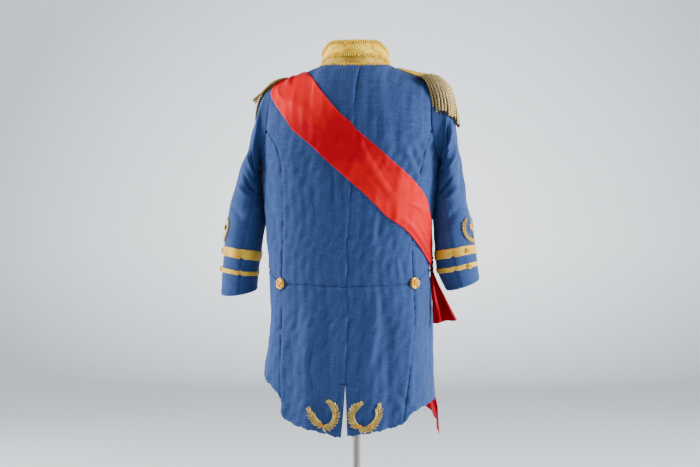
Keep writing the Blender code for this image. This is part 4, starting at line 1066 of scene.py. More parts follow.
def crease_height(u, v, lines, scale=TURN_LENGTH):
    """Soft troughs and ridges. Places across are turns or shares, and scale makes them metres."""
    height = np.zeros(np.broadcast(u, v).shape)
    for crease in lines:
        start = np.array((crease.turn * scale, crease.level))
        line = np.array((crease.to_turn * scale, crease.to_level)) - start
        length = np.hypot(*line)
        along, side = line / length, np.array((-line[1], line[0])) / length
        x, y = u * scale - start[0], v - start[1]
        s = (x * along[0] + y * along[1]) / length
        bow = 0.06 * length * sin(crease.turn * 37 + crease.level * 53)
        d = x * side[0] + y * side[1] - bow * np.sin(pi * np.clip(s, 0, 1))
        fade = ramp(s, -0.25, 0.30) * (1 - ramp(s, 0.65, 1.25))
        height += CREASING * crease.depth * fade * bell(d, crease.width)
    return height


RUMPLE_WAVES = 6


def rumple(u, v, size, seed):
    """Gentle unevenness of a hanging cloth, from a few waves."""
    draw = random.Random(seed)
    height = 0
    for _ in range(RUMPLE_WAVES):
        angle, wave, phase = draw.uniform(0, pi), draw.uniform(0.045, 0.12), draw.uniform(0, 6.3)
        height = height + np.sin((u * cos(angle) + v * sin(angle)) * 2 * pi / wave + phase)
    return height * size / RUMPLE_WAVES


def seam_relief(edge, along):
    """How a cloth rises and dips beside a seam, from the distance to it."""
    roll = -0.0015 * bell(edge, 0.0021) + 0.0006 * bell(edge - 0.0085, 0.0040)
    pucker = 0.0006 * np.sin(along * 430 + 3 * np.sin(along * 71)) * bell(edge, 0.013)
    return roll + pucker


def hem_relief(edge, along):
    """A turned hem: a thicker strip up to its line of stitches, which pulls in."""
    thick = 0.0007 * (1 - ramp(edge, 0.010, 0.016)) - 0.0008 * bell(edge, 0.0014)
    line = -0.0006 * bell(edge - 0.0155, 0.0016) * (0.6 + 0.4 * np.sin(along * 900))
    return thick + line


def waist_level(turn):
    return smooth(WAIST, np.abs(wrap(turn)))


def coat_relief(turn, level):
    """Creases, rumple and fine unevenness of the coat. The skirts hang smoother than the bodice."""
    fine = 0.0011 * np.sin(turn * 61 + level * 83 + 2.2 * np.sin(level * 31)) * np.sin(level * 47 - turn * 17)
    soft = rumple(turn * TURN_LENGTH, level, 0.0018, 5) * mix(0.45, 1, ramp(level, 0.86, 1.02))
    return crease_height(turn, level, CREASES) + soft + fine


def coat_shell(name, turn, level, edges, hem=None):
    """A coat piece from grids of places. Edges is how far each point is from the seams, hem from the hem."""
    relief = coat_relief(turn, level) + seam_relief(edges, level + turn * 0.2)
    if hem is not None:
        relief = relief + hem_relief(hem, turn * TURN_LENGTH)
    outer = coat_point(turn, level, relief)
    inner = coat_point(turn, level, relief - WALL)
    thread = np.stack([turn * TURN_LENGTH, level], -1)
    panel(shell(name, outer, inner, BLUE, thread=thread))


def bodice_grid(side, start, end, top=SHOULDER, top_is_seam=True):
    """Turns, levels and distances to the seams of a bodice panel between two edges."""
    low_rows = np.linspace(BODICE_FOOT, LEVEL_ROWS, 18, endpoint=False)
    high_rows = np.linspace(LEVEL_ROWS, top, int((top - LEVEL_ROWS) / SPACING * 1.1))
    base = np.concatenate([low_rows, high_rows])
    width = abs(end(LEVEL_ROWS) - start(LEVEL_ROWS)) * TURN_LENGTH
    columns = max(int(width / SPACING), 8)
    gap = SEAM_GAP / 2 / TURN_LENGTH
    low, high = (np.array([f(v) for v in base]) for f in (start, end))
    share = np.linspace(0, 1, columns + 1)
    turn = mix(low[:, None] + gap, high[:, None] - gap, share[None, :])
    climb = np.clip((base - BODICE_FOOT) / (LEVEL_ROWS - BODICE_FOOT), 0, 1)[:, None]
    level = np.where(climb < 1, mix(waist_level(turn) + WAIST_GAP, LEVEL_ROWS, climb), base[:, None])
    level = np.minimum(level, SHOULDER_EDGE)
    span = np.abs(high - low)[:, None] * TURN_LENGTH
    edge = np.minimum(share[None, :], 1 - share[None, :]) * span
    edge = np.minimum(edge, level - waist_level(turn))
    if top_is_seam:
        edge = np.minimum(edge, (SHOULDER - level) * 1.4)
    return side * turn, level, edge


def bodice(side, word):
    """The back, side back and front of one side, each between its own seams."""
    def centre(level):
        return side * smooth(CENTRE_BACK, level)

    def princess(level):
        return smooth(PRINCESS[side], level)

    def armhole(level):
        return smooth(ARMHOLE, level)

    def back_outer(level):
        return np.where(level < PRINCESS[side][-1][0], princess(level), armhole(level))

    def side_outer(level):
        return np.where(level < ARMHOLE[0][0], 1.0, armhole(level))

    def front_inner(level):
        return 2 - side_outer(level) if level >= ARMHOLE[0][0] else 1.0

    coat_shell(f"back_{word}_cloth", *bodice_grid(side, centre, back_outer))
    coat_shell(f"side_back_{word}_cloth", *bodice_grid(side, princess, side_outer, PRINCESS_TOP, False))
    coat_shell(f"front_{word}_cloth", *bodice_grid(side, front_inner, lambda level: 2.0))


def skirt_grid(side, start, end, hem):
    """Turns, levels, distances to the seams and to the hem of a skirt panel."""
    rows = 84
    share = np.linspace(0, 1, rows)
    width = abs(float(end(0.5)) - float(start(0.5))) * TURN_LENGTH
    columns = max(int(width / SPACING), 10)
    gap = SEAM_GAP / 2 / TURN_LENGTH
    across = np.linspace(0, 1, columns + 1)
    low, high = start(share)[:, None] + gap, end(share)[:, None] - gap
    turn = mix(low, high, across[None, :])
    top, foot = turn[0], turn[-1]
    wavy = 0.0013 * np.sin(foot * 57) + 0.0009 * np.sin(foot * 139 + 1)
    level = mix(waist_level(top)[None, :] - WAIST_GAP, (smooth(hem, foot) + wavy)[None, :], share[:, None])
    edge = np.minimum(across[None, :], 1 - across[None, :]) * np.abs(high - low) * TURN_LENGTH
    edge = np.minimum(edge, waist_level(top)[None, :] - level)
    return side * turn, level, edge, level - (smooth(hem, foot) + wavy)[None, :]


def skirts(side, word):
    """The back and the side skirt of one side. Share is the way down from the waist to the hem."""
    def vent(share):
        return side * smooth(VENT[side], share)

    def back_seam(share):
        return smooth(SKIRT_SEAM[side], mix(SKIRT_SEAM[side][-1][0], HEM_BACK[side][-1][1], share))

    def side_seam(share):
        return smooth(SKIRT_SEAM[side], mix(SKIRT_SEAM[side][-1][0], HEM_SIDE[side][0][1], share))

    def front(share):
        return smooth(SKIRT_FRONT, share)

    coat_shell(f"skirt_back_{word}_cloth", *skirt_grid(side, vent, back_seam, HEM_BACK[side]))
    coat_shell(f"skirt_side_{word}_cloth", *skirt_grid(side, side_seam, front, HEM_SIDE[side]))


# The height of the bar tack at the top of the vent
TACK_LEVEL = 0.6775


def vent_tack():
    """A short bar of thread that keeps the vent from tearing at its top."""
    middle, line = float(smooth(VENT[1], 0.70)), np.linspace(0, 1, 24)
    parts = []
    for row in (-1, 0, 1):
        turn = middle + mix(-0.030, 0.034, line)
        level = TACK_LEVEL + row * 0.0011 + 0 * line
        path = coat_point(turn, level, coat_relief(turn, level) + 0.0006 + 0.0006 * np.sin(pi * line))
        parts.append(tube(path, 0.0007, 8, shape=cord_twist(0.0020)))
    joined("vent_tack_thread", parts, BLUE_THREAD)


# Sleeves

# About how far it is round a sleeve, and from one ring of the table to the next
SLEEVE_SCALE = 0.30
RING_LENGTH = 0.040

# Creases by share round from the outer side, and by ring
SLEEVE_CREASES = {
    1: creases(
        (0.2, 4.2, 0.36, 5.2, 0.007, -0.0035), (0.16, 4.8, 0.33, 5.9, 0.008, 0.0028),
        (0.2, 6.4, 0.38, 7.4, 0.0075, -0.0035), (0.14, 7.2, 0.3, 8.0, 0.008, 0.0026),
        (0.05, 5.0, 0.12, 7.5, 0.012, -0.0022), (0.1, 8.8, 0.24, 9.6, 0.008, -0.0022),
        (0.26, 9.4, 0.4, 8.6, 0.008, 0.0022), (-0.2, 4.5, -0.34, 5.8, 0.009, -0.003),
        (-0.18, 6.8, -0.32, 7.8, 0.009, 0.0026), (-0.12, 8.5, -0.28, 9.3, 0.009, -0.0024),
        (-0.05, 3.0, -0.1, 6.0, 0.012, 0.002), (0.5, 5.5, 0.52, 8.5, 0.011, -0.0025),
        scale=RING_LENGTH,
    ),
    -1: creases(
        (0.22, 2.2, 0.32, 3.6, 0.007, -0.0038), (0.14, 2.6, 0.28, 4.4, 0.008, 0.003),
        (0.24, 3.8, 0.4, 4.9, 0.0075, -0.0038), (0.12, 4.6, 0.26, 5.6, 0.008, 0.0026),
        (0.24, 6.6, 0.42, 7.6, 0.007, -0.0032), (0.16, 7.4, 0.32, 8.3, 0.008, 0.0024),
        (0.08, 6.0, 0.14, 8.0, 0.011, -0.002), (0.14, 8.9, 0.3, 9.6, 0.008, -0.0022),
        (-0.22, 3.8, -0.36, 5.2, 0.009, -0.003), (-0.18, 6.2, -0.3, 7.4, 0.009, 0.0026),
        (-0.14, 8.2, -0.28, 9.2, 0.009, -0.0024), (0.5, 5.2, 0.53, 8.4, 0.011, -0.0025),
        scale=RING_LENGTH,
    ),
}


# How far each sleeve's cloth stands out from its plain form: by ring, on its outer and its body side
SLEEVE_OUTER = {
    1: ((0.0, 0.0), (4.0, 0.0), (5.5, 0.0045), (8.0, 0.0070), (11.0, 0.0072), (13.0, 0.0085), (15.0, 0.0090)),
    -1: ((0.0, 0.0), (15.0, 0.0)),
}
SLEEVE_INNER = {
    1: ((0.0, 0.0), (7.4, 0.0), (8.6, 0.0040), (9.6, 0.0040), (10.8, 0.0), (15.0, 0.0)),
    -1: ((0.0, 0.0), (3.0, 0.0), (4.6, 0.0085), (9.2, 0.0085), (10.6, 0.0020), (15.0, 0.0)),
}


# How much higher the sleeves' creases stand than their tables say
SLEEVE_CREASING = 2.1


def sleeve_fullness(side, centred, place):
    """How far the cloth stands out over all, on the outer and on the body side."""
    outer = smooth(SLEEVE_OUTER[side], place) * bell(centred, 0.17)
    return outer + smooth(SLEEVE_INNER[side], place) * bell(np.abs(centred) - 0.5, 0.13)


def sleeve_relief(side, round_share, place):
    """Creases and fullness of a sleeve, held flat at its head and less at the cuff."""
    centred = (np.asarray(round_share) + 0.5) % 1 - 0.5
    height = crease_height(centred, place * RING_LENGTH, SLEEVE_CREASES[side], SLEEVE_SCALE)
    height = height + rumple(centred * SLEEVE_SCALE, place * RING_LENGTH, 0.0012, 11 + side)
    fade = ramp(place, 0.3, 2.0) * (1 - 0.6 * ramp(place, 11.0, 12.0))
    return height * fade * SLEEVE_CREASING + sleeve_fullness(side, centred, place)


def sleeve_height(side, round_share, place):
    """The cloth's height over the sleeve's plain form, seams and hem included."""
    back = smooth(SLEEVE_BACK_SEAM, place)
    to_back = np.abs((np.asarray(round_share) % 1) - back) * SLEEVE_SCALE
    to_front = np.abs((np.asarray(round_share) % 1) - SLEEVE_FRONT_SEAM) * SLEEVE_SCALE
    edge = np.minimum(np.minimum(to_back, to_front), 0.0025 + np.abs(place) * RING_LENGTH)
    relief = sleeve_relief(side, round_share, place) + seam_relief(edge, place * RING_LENGTH)
    relief = relief - 0.004 * (place < 0)
    return relief + hem_relief((LAST_RING - place) * RING_LENGTH, np.asarray(round_share) * SLEEVE_SCALE)


def sleeve_piece(name, side, edges, columns):
    """One of a sleeve's two pieces, from its head inside the armhole down to its cuff."""
    place = np.concatenate([[-0.14, -0.02], np.linspace(0, 1, 9)[:-1], np.linspace(1, LAST_RING, 118)])
    low, high = edges(place)
    round_share = mix(low[:, None], high[:, None], np.linspace(0, 1, columns + 1)[None, :])
    place = np.broadcast_to(place[:, None], round_share.shape)
    relief = sleeve_height(side, round_share, place)
    outer = sleeve_point(side, round_share, place, relief)
    inner = sleeve_point(side, round_share, place, relief - WALL)
    thread = np.stack([(round_share - 0.5) * SLEEVE_SCALE, -place * RING_LENGTH], -1)
    panel(shell(name, outer, inner, BLUE, thread=thread))


# Half of each sleeve seam's gap, as a share of the way round
SLEEVE_GAP = 0.0007


def sleeve(side, word):
    """A two-piece sleeve, its seams at the back and the front."""
    def back_seam(place):
        return smooth(SLEEVE_BACK_SEAM, place)

    def front_seam(place):
        return np.full(np.shape(place), SLEEVE_FRONT_SEAM)

    def upper(place):
        return front_seam(place) - 1 + SLEEVE_GAP, back_seam(place) - SLEEVE_GAP

    def under(place):
        return back_seam(place) + SLEEVE_GAP, front_seam(place) - SLEEVE_GAP

    sleeve_piece(f"sleeve_upper_{word}_cloth", side, upper, 46)
    sleeve_piece(f"sleeve_under_{word}_cloth", side, under, 26)


# Cuff bands, buttons and leaf sprays


def cuff_band(name, side, span, groove):
    """A woven gold band round a sleeve, drawn in a little where it crosses the back seam."""
    rounds = SLEEVE_FRONT_SEAM + np.arange(120) / 120
    share = np.linspace(0, 1, 13)[:, None]
    middle = sum(span) / 2
    seam = float(smooth(SLEEVE_BACK_SEAM, middle))
    pinch = bell((rounds - seam + 0.5) % 1 - 0.5, 0.013)[None, :]
    drift = 0.010 * np.sin(rounds * 31) + 0.005 * np.sin(rounds * 77 + 1)
    place = mix(span[0], span[1], share * (1 - 0.16 * pinch) + 0.08 * pinch) + drift - 0.05 * pinch
    rounds = np.broadcast_to(rounds[None, :], place.shape)
    edge = np.minimum(share, 1 - share)
    relief = 0.0013 * ramp(edge, -0.04, 0.10) - 0.0010 * pinch
    relief = relief - groove * bell(share - 0.5, 0.06)
    relief = relief - 0.0003 * bell(edge - 0.14, 0.03)
    base = sleeve_height(side, rounds, place) + 0.0005
    outer = sleeve_point(side, rounds, place, base + relief + 0.0004)
    inner = sleeve_point(side, rounds, place, base)
    thread = np.stack([place * RING_LENGTH, rounds * SLEEVE_SCALE * 2], -1)
    made = shell(f"{name}_woven", outer, inner, BAND_GOLD, closed=True, thread=thread)
    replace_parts(made, name)


def dome(radius, height, rings=9, sides=40):
    """A domed disc about the Z axis with a flat back: points, faces and thread places."""
    points, share = [], np.linspace(0, 1, rings + 1)[1:]
    angle = np.arange(sides) / sides * 2 * pi
    for s in share:
        reach, rise = radius * s, height * sqrt(1 - 0.93 * s * s)
        points.append(point(reach * np.cos(angle), reach * np.sin(angle), rise))
    rim = radius * 0.985
    points.append(point(rim * np.cos(angle), rim * np.sin(angle), height * 0.05))
    count = len(points)
    points = np.concatenate(points + [np.array([[0, 0, height], [0, 0, 0.0]])])
    return points, quads(count, sides, True, 0, False).tolist() + fans(count, sides), points[:, :2]


def seated(parts, seat, facing):
    """Parts made about the Z axis, turned to face a way and moved to their seat."""
    turning = np.array(Vector(facing).to_track_quat("Z", "Y").to_matrix()).T
    return [(points @ turning + seat, faces, thread) for points, faces, thread in parts]


def knot_button(name, seat, ahead, radius):
    """A gilt button: a dome with a rope rim and an interlaced knot in relief. Ahead is where it faces."""
    t = np.linspace(0, 6 * pi, 181)[:-1]
    reach = radius * (0.53 + 0.30 * np.cos(5 * t / 3))
    over = 0.46 * np.sqrt(1 - 0.80 * (reach / radius) ** 2) + 0.055 * np.sin(10 * t / 3 + 0.6)
    knot = point(reach * np.cos(t), reach * np.sin(t), radius * over)
    knot = tube(np.concatenate([knot, knot[:1]]), radius * 0.100, 8)
    t = np.linspace(0, 2 * pi, 97)
    rim = point(radius * 0.90 * np.cos(t), radius * 0.90 * np.sin(t), np.full(t.shape, radius * 0.16))
    twist = radius * 0.16
    rim = tube(rim, radius * 0.10, 8, shape=lambda a, s: 1 + 0.22 * np.cos(2 * (a - s / twist)))
    points, faces, thread = dome(radius * 0.20, radius * 0.16, 4, 14)
    boss = points + (0, 0, radius * 0.44), faces, thread
    ground, facing = dome(radius * 0.92, radius * 0.42), unit(ahead - seat)
    # The button's ground is in the darker gilt, as painted shade between the knot and the rim
    joined(f"{name}_ground", seated([ground], seat, facing), GILT_SHADE)
    made = joined(f"{name}_gilt", seated([knot, rim, boss], seat, facing), GILT)
    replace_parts(made, name)


# Leaves: how long and wide one is, how far apart pairs lie on a stem, and how far they splay
LEAF_LENGTH = 0.0135
LEAF_WIDTH = 0.0052
LEAF_SPACING = 0.0068
LEAF_SPLAY = 40
LEAF_ROWS, LEAF_COLUMNS = 9, 7
STEM_POINTS = 400


def leaf(base, along, across, normal, length, width):
    """One pointed leaf with a ridge down its middle: points, faces and thread places."""
    share = np.linspace(0, 1, LEAF_ROWS)[:, None]
    side = np.linspace(-1, 1, LEAF_COLUMNS)[None, :]
    half = width / 2 * np.sin(pi * np.clip(share * 0.94 + 0.05, 0, 1) ** 0.85) + 0.00015
    ribs = 0.00018 * np.sin(share * 46 - np.abs(side) * 3)
    lift = 0.0016 * (1 - side**2) * (0.35 + 0.65 * np.sin(pi * share)) + ribs + 0.0012 * share
    lift = lift - 0.0006 * bell(side, 0.16)
    flat = np.stack(np.broadcast_arrays(half * side, share * length), -1)
    lying = base + flat[..., 1:] * along + flat[..., :1] * across
    under = lying + (0.0012 * share - 0.0004)[..., None] * normal
    points = np.concatenate([(lying + lift[..., None] * normal).reshape(-1, 3), under.reshape(-1, 3)])
    count = LEAF_ROWS * LEAF_COLUMNS
    line = outline(np.arange(count).reshape(LEAF_ROWS, LEAF_COLUMNS))
    faces = [quads(LEAF_ROWS, LEAF_COLUMNS, False, start, start > 0) for start in (0, count)]
    faces = np.concatenate([*faces, strip(line, line + count)]).tolist()
    flat = flat.reshape(-1, 2)
    return points, faces, np.concatenate([flat, flat])


def stem_frame(line, surface):
    """Points on a surface along a line of places, with their directions along and out of it."""
    here = surface(line[:, 0], line[:, 1], 0.0)
    normal = unit(surface(line[:, 0], line[:, 1], 0.002) - here)
    along = unit(np.gradient(here, axis=0))
    return here, along, normal


def spray(name, stem, surface, middle, scale, stones=()):
    """Leaves in pairs along a stem, all pointing from its middle to its two tips.

    A stone is a share of the way along the stem, a distance beside it and a radius.
    """
    last_point = STEM_POINTS - 1
    here, along, normal = stem_frame(spline(stem, STEM_POINTS), surface)
    gone = travelled(here)
    start = gone[int(middle / (len(stem) - 1) * last_point)]
    draw = random.Random(len(name) * 7 + len(stones))
    parts = []
    for way, reach in ((1, gone[-1] - start), (-1, start)):
        count = int((reach - LEAF_LENGTH * scale * 0.55) / (LEAF_SPACING * scale))
        for k in range(count + 1):
            at = start + way * (k + 0.3) * LEAF_SPACING * scale
            n = int(np.clip(np.searchsorted(gone, at), 1, last_point - 1))
            forward, up = along[n] * way, normal[n]
            across = np.cross(up, forward)
            last = k >= count - 1
            for hand in (-1, 1):
                splay = radians(LEAF_SPLAY * (0.5 if last else 1) + draw.uniform(-7, 7))
                ahead = forward * cos(splay) + across * sin(splay) * hand
                length = LEAF_LENGTH * scale * draw.uniform(0.88, 1.10) * (0.85 if last else 1)
                width = LEAF_WIDTH * scale * draw.uniform(0.9, 1.1)
                lift = 0.0012 + 0.0002 * hand + draw.uniform(0, 0.0005)
                root = here[n] + across * hand * 0.0008 * scale + up * lift
                parts.append(leaf(root, ahead, np.cross(up, ahead), up, length, width))
            if last:
                root = here[n] + up * 0.0020
                parts.append(leaf(root, forward, across, up, LEAF_LENGTH * scale * 0.95, LEAF_WIDTH * scale))
    cord = here[::4] + normal[::4] * 0.0028
    parts.append(tube(cord, 0.0009 * scale, 8, shape=lambda a, s: 1 + 0.25 * np.cos(2 * (a - s / 0.0009))))
    made = joined(f"{name}_leaves", parts, LEAF_GOLD, 50)
    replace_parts(made, name)
    for number, (share, off, radius) in enumerate(stones, 1):
        n = int(share * last_point)
        across = np.cross(normal[n], along[n])
        seat = here[n] + across * off + normal[n] * 0.0024
        set_stone(f"{name}_stone_{number}", seat, normal[n], radius)


def set_stone(name, seat, facing, radius):
    """A cut stone in a thin gilt ring."""
    joined(name, seated([dome(radius, radius * 0.75, 5, 10)], seat, facing), STONE, 20)
    t = np.linspace(0, 2 * pi, 33)
    ring = point(radius * np.cos(t), radius * np.sin(t), np.full(t.shape, radius * 0.12))
    joined(f"{name}_setting", seated([tube(ring, radius * 0.16, 6)], seat, facing), GILT)


# How far a sewn button's back and its front's aim lie off the cloth
BUTTON_SEAT = 0.0012
BUTTON_AIM = 0.02
# Sleeve sprays: half the width and height of the ring that the stem makes, in turns and in rings
STEM_HALF_WIDTH = 0.080
STEM_HALF_HEIGHT = 0.66
STEM_OPENING = 145


def cuff_trims(side, word):
    """A sleeve's two bands, the button on each, and the leaf spray above them round a third button."""
    def surface(share, place, out):
        return sleeve_point(side, share, place, out + sleeve_relief(side, share, place))

    for kind, span, groove in (("wide", WIDE_BAND[side], 0.0), ("narrow", NARROW_BAND[side], 0.0007)):
        cuff_band(f"cuff_band_{kind}_{word}", side, span, groove)
        seat, ahead = (surface(CUFF_BUTTON_ROUND[side], sum(span) / 2, out) for out in (0.0027, BUTTON_AIM))
        knot_button(f"cuff_button_{kind}_{word}", seat, ahead, CUFF_BUTTON)
    middle, ring = SLEEVE_SPRAY_ROUND[side] - (0.02 if side > 0 else 0), SLEEVE_SPRAY_RING
    angles = [radians(mix(-STEM_OPENING, STEM_OPENING, k / 8)) for k in range(9)]
    stem = [(middle + STEM_HALF_WIDTH * sin(a), ring + STEM_HALF_HEIGHT * cos(a)) for a in angles]
    spray(f"sleeve_spray_{word}", stem, surface, 4, 0.72)
    seat, ahead = (surface(middle, ring, out) for out in (0.0006, BUTTON_AIM))
    knot_button(f"sleeve_button_{word}", seat, ahead, CUFF_BUTTON)


# Where along each tail's stem its two halves part, counted in the stem's points, and its stones
TAIL_SPRAY_MIDDLE = {1: 3.0, -1: 3.8}
TAIL_STONES = {1: ((0.34, 0.002, 0.0034),), -1: ((0.47, 0.004, 0.0042), (0.74, 0.000, 0.0038))}


def tail_spray(side, word):
    """The leaf spray and stones on a coat tail."""
    def surface(turn, level, out):
        return coat_point(turn, level, out + coat_relief(turn, level))

    spray(f"tail_spray_{word}", TAIL_SPRAY[side], surface, TAIL_SPRAY_MIDDLE[side], 1.0, TAIL_STONES[side])


def coat_buttons():
    """Two buttons at the back of the waist, and a row down the front."""
    for side, word in SIDES.items():
        turn = side * SKIRT_SEAM[side][-1][1]
        level = float(waist_level(turn)) - 0.002
        seat, ahead = (coat_point(turn, level, out) for out in (BUTTON_SEAT, BUTTON_AIM))
        knot_button(f"waist_button_{word}", seat, ahead, WAIST_BUTTON)
    for number, level in enumerate(FRONT_BUTTON_LEVELS, 1):
        seat, ahead = (coat_point(2.0, level, out) for out in (BUTTON_SEAT, BUTTON_AIM))
        knot_button(f"front_button_{number}", seat, ahead, FRONT_BUTTON)


# Collar

COLLAR_HEIGHT = ((0.0, 0.0620), (0.5, 0.0570), (0.70, 0.0440), (1.0, 0.0300), (1.5, 0.0300), (2.0, 0.0320))
COLLAR_REACH = pi * 0.985
COLLAR_FLARE = 0.002
# About how tall the collar is, and its radius
COLLAR_TALL = 0.06
COLLAR_RADIUS = 0.078
# Creases by angle from the centre back and by share of the height
COLLAR_CREASES = creases(
    (-0.6, 0.7, -0.15, 0.8, 0.005, -0.0016), (-0.45, 0.52, 0.1, 0.66, 0.0045, 0.0013),
    (0.1, 0.84, 0.65, 0.74, 0.005, -0.0015), (0.05, 0.7, 0.55, 0.6, 0.004, 0.0012),
    (0.4, 0.55, 0.9, 0.4, 0.005, -0.0013), (-0.95, 0.45, -0.55, 0.6, 0.005, -0.0014),
    (-0.3, 0.3, 0.25, 0.36, 0.0045, -0.001), (1.2, 0.5, 1.9, 0.6, 0.006, -0.0012),
    (2.2, 0.6, 2.8, 0.45, 0.006, 0.001), (-1.3, 0.6, -1.9, 0.45, 0.006, -0.0012),
    (-2.3, 0.4, -2.9, 0.55, 0.006, 0.001),
    scale=COLLAR_TALL,
)


def collar_point(angle, share, out):
    """Angle 0 is the centre back. Share 0 is the collar's foot and 1 its top edge."""
    out = out + COLLAR_FLARE * bell(share - 0.50, 0.20) * np.abs(np.sin(angle)) ** 3
    back = np.cos(angle) > 0
    depth = np.where(back, NECK_BACK, NECK_FRONT) + out
    drop = np.where(back, NECK_DROP_BACK, NECK_DROP_FRONT) * np.cos(angle) ** 2
    lean = 1 - 0.05 * share
    height = smooth(COLLAR_HEIGHT, np.abs(angle) / (pi / 2))
    foot = NECK_LEVEL - drop + np.where(back, 0.0006, 0.0014)
    return point(
        SHOULDER_SHIFT + (NECK_HALF_WIDTH + out) * np.sin(angle) * lean,
        NECK_Y + depth * np.cos(angle) * lean,
        foot + height * share,
    )


def arch(angle):
    """The share of the collar's height at which its middle trim lies."""
    return 0.08 + 0.32 * np.clip(np.cos(angle), 0, None) ** 1.1


def collar_relief(angle, share):
    """Creases and puckers of the collar, none at its foot and its top edge."""
    height = 2.8 * crease_height(angle, share * COLLAR_TALL, COLLAR_CREASES, COLLAR_RADIUS)
    height = height + rumple(angle * COLLAR_RADIUS, share * COLLAR_TALL, 0.0012, 23)
    height = height + 0.0009 * np.sin(angle * 46 + share * 9 * np.sin(angle * 7)) * ramp(share, 0.45, 0.9)
    return height * ramp(share, 0.02, 0.15) * (1 - ramp(share, 0.86, 0.98))


def collar_cloth(name, low, high, rows, lift, thick, finish):
    """A cloth band that follows the collar. Low and high are shares of its height, by angle."""
    angle = np.linspace(-COLLAR_REACH, COLLAR_REACH, 220)[None, :]
    share = mix(low(angle), high(angle), np.linspace(0, 1, rows)[:, None])
    angle = np.broadcast_to(angle, share.shape)
    relief = collar_relief(angle, share) + lift
    thread = np.stack([share * 0.062, angle * COLLAR_RADIUS], -1)
    outer, inner = collar_point(angle, share, relief), collar_point(angle, share, relief - thick)
    return shell(name, outer, inner, finish, thread=thread)


# A gathered strip: how high its back lies off the collar, and its columns
RUCHE_LIFT = 0.0004
RUCHE_COLUMNS = 600


def ruche(name, middle, half, stand, gathers, seed):
    """A narrow strip of satin gathered along its middle. Gathers says how many puckers it has.

    Middle is the share of the collar's height at which it lies, by angle, and half is half its width.
    """
    draw = random.Random(seed)
    angle = np.linspace(-COLLAR_REACH, COLLAR_REACH, RUCHE_COLUMNS)
    run = np.cumsum([draw.uniform(0.7, 1.3) for _ in range(gathers + 1)])
    spots = -COLLAR_REACH + 2 * COLLAR_REACH * (run - run[0]) / (run[-1] - run[0])
    size = np.array([draw.uniform(0.55, 1.0) for _ in spots])
    nearest = np.clip(np.searchsorted(spots, angle), 1, len(spots) - 1)
    share = (angle - spots[nearest - 1]) / (spots[nearest] - spots[nearest - 1])
    puff = np.sin(pi * share) * mix(size[nearest - 1], size[nearest], share)
    slant = np.array([draw.uniform(-1, 1) for _ in spots])[nearest]
    across = np.linspace(-1, 1, 9)[:, None]
    angle_at = angle[None, :] + slant[None, :] * across * 0.018
    half_share = half / smooth(COLLAR_HEIGHT, np.abs(angle) / (pi / 2))
    reach = half_share[None, :] * (0.66 + 0.52 * puff[None, :])
    place = middle(angle)[None, :] + across * reach
    round_over = np.sqrt(np.clip(1 - across**2, 0.02, 1))
    draw_in = 0.40 * bell(across, 0.20)
    height = RUCHE_LIFT + stand * round_over * (0.22 + 0.88 * puff[None, :]) * (1 - draw_in)
    angle_at = np.clip(angle_at, -COLLAR_REACH, COLLAR_REACH)
    outer = collar_point(angle_at, place, height)
    inner = collar_point(angle_at, place, np.full(place.shape, RUCHE_LIFT - 0.0003))
    thread = np.stack(np.broadcast_arrays(across, (nearest + share)[None, :]), -1)
    return shell(name, outer, inner, GATHERED_GOLD, thread=thread, angle=70)


def collar():
    """The standing collar, the plain facing over its lower part, and its three gathered strips."""
    made = collar_cloth("collar_satin", lambda a: a * 0, lambda a: a * 0 + 1, 34, 0.0, 0.0018, COLLAR_GOLD)
    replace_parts(made, "collar")
    facing = collar_cloth(
        "collar_facing", lambda a: a * 0 + 0.05, lambda a: arch(a) + 0.04, 14, 0.0007, 0.0006, SHADED_GOLD)
    strips = (
        ("collar_trim_top", lambda a: a * 0 + 0.965, 0.0050, 0.0040, 104, (0.0115, 0.51)),
        ("collar_trim_middle", lambda a: arch(a) + 0.055, 0.0054, 0.0038, 98, (0.0115, 0.51)),
        ("collar_piping", lambda a: a * 0 + 0.035, 0.0034, 0.0030, 84, (0.010, 0.42)),
    )
    for seed, (name, middle, half, stand, gathers, flat) in enumerate(strips, 31):
        made = ruche(f"{name}_ruched", middle, half, stand, gathers, seed)
        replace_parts(made, name)


# Epaulettes

Pad = namedtuple("Pad", "middle half_length half_width forward strap_start strands first last")
PADS = {
    1: Pad(0.2060, 0.0340, 0.050, 0.016, None, 17, -104, 34),
    -1: Pad(0.1960, 0.0400, 0.056, 0.000, 0.104, 26, -112, 128),
}
EPAULETTE_HEIGHT = {
    1: ((0.172, 1.4293), (0.190, 1.4253), (0.2025, 1.4203), (0.215, 1.4128), (0.228, 1.4018),
        (0.240, 1.3878)),
    -1: ((0.104, 1.4541), (0.135, 1.4475), (0.157, 1.4420), (0.180, 1.4375), (0.198, 1.4310),
         (0.212, 1.4225), (0.2235, 1.4125), (0.236, 1.3985)),
}
STRAP_HALF_WIDTH = 0.022
BOARD = 0.003
# How steeply an epaulette falls off to its front and back, by the square of the distance
CROSS_DROOP = 1.9
# At the pad's outer end, and at its front and back: length, and lean from level at first and at last
STRAND_LENGTH = {1: (0.066, 0.072), -1: (0.101, 0.096)}
STRAND_FIRST_LEAN = {1: (74, 60), -1: (72, 60)}
STRAND_LAST_LEAN = {1: 86, -1: 85}
# On the left shoulder the strands behind this angle are short and lie on the pad
SHORT_STRANDS = radians(-30)
# How far the front and back strands lean out along the shoulder too
STRAND_SLANT = {1: 0.15, -1: 1.7}
STRAND_RADIUS = 0.0028
STRAND_POINTS = 72
# How far the fringe's tape stands out from the pad's rim
TAPE_OUT = 0.0018
# How far the right strap's back edge drops to the shoulder, by distance along it
STRAP_DROP = ((0.100, 0.0040), (0.120, 0.0080), (0.140, 0.0105), (0.160, 0.0125), (0.175, 0.0100),
              (0.195, 0.0030), (0.215, 0.0))


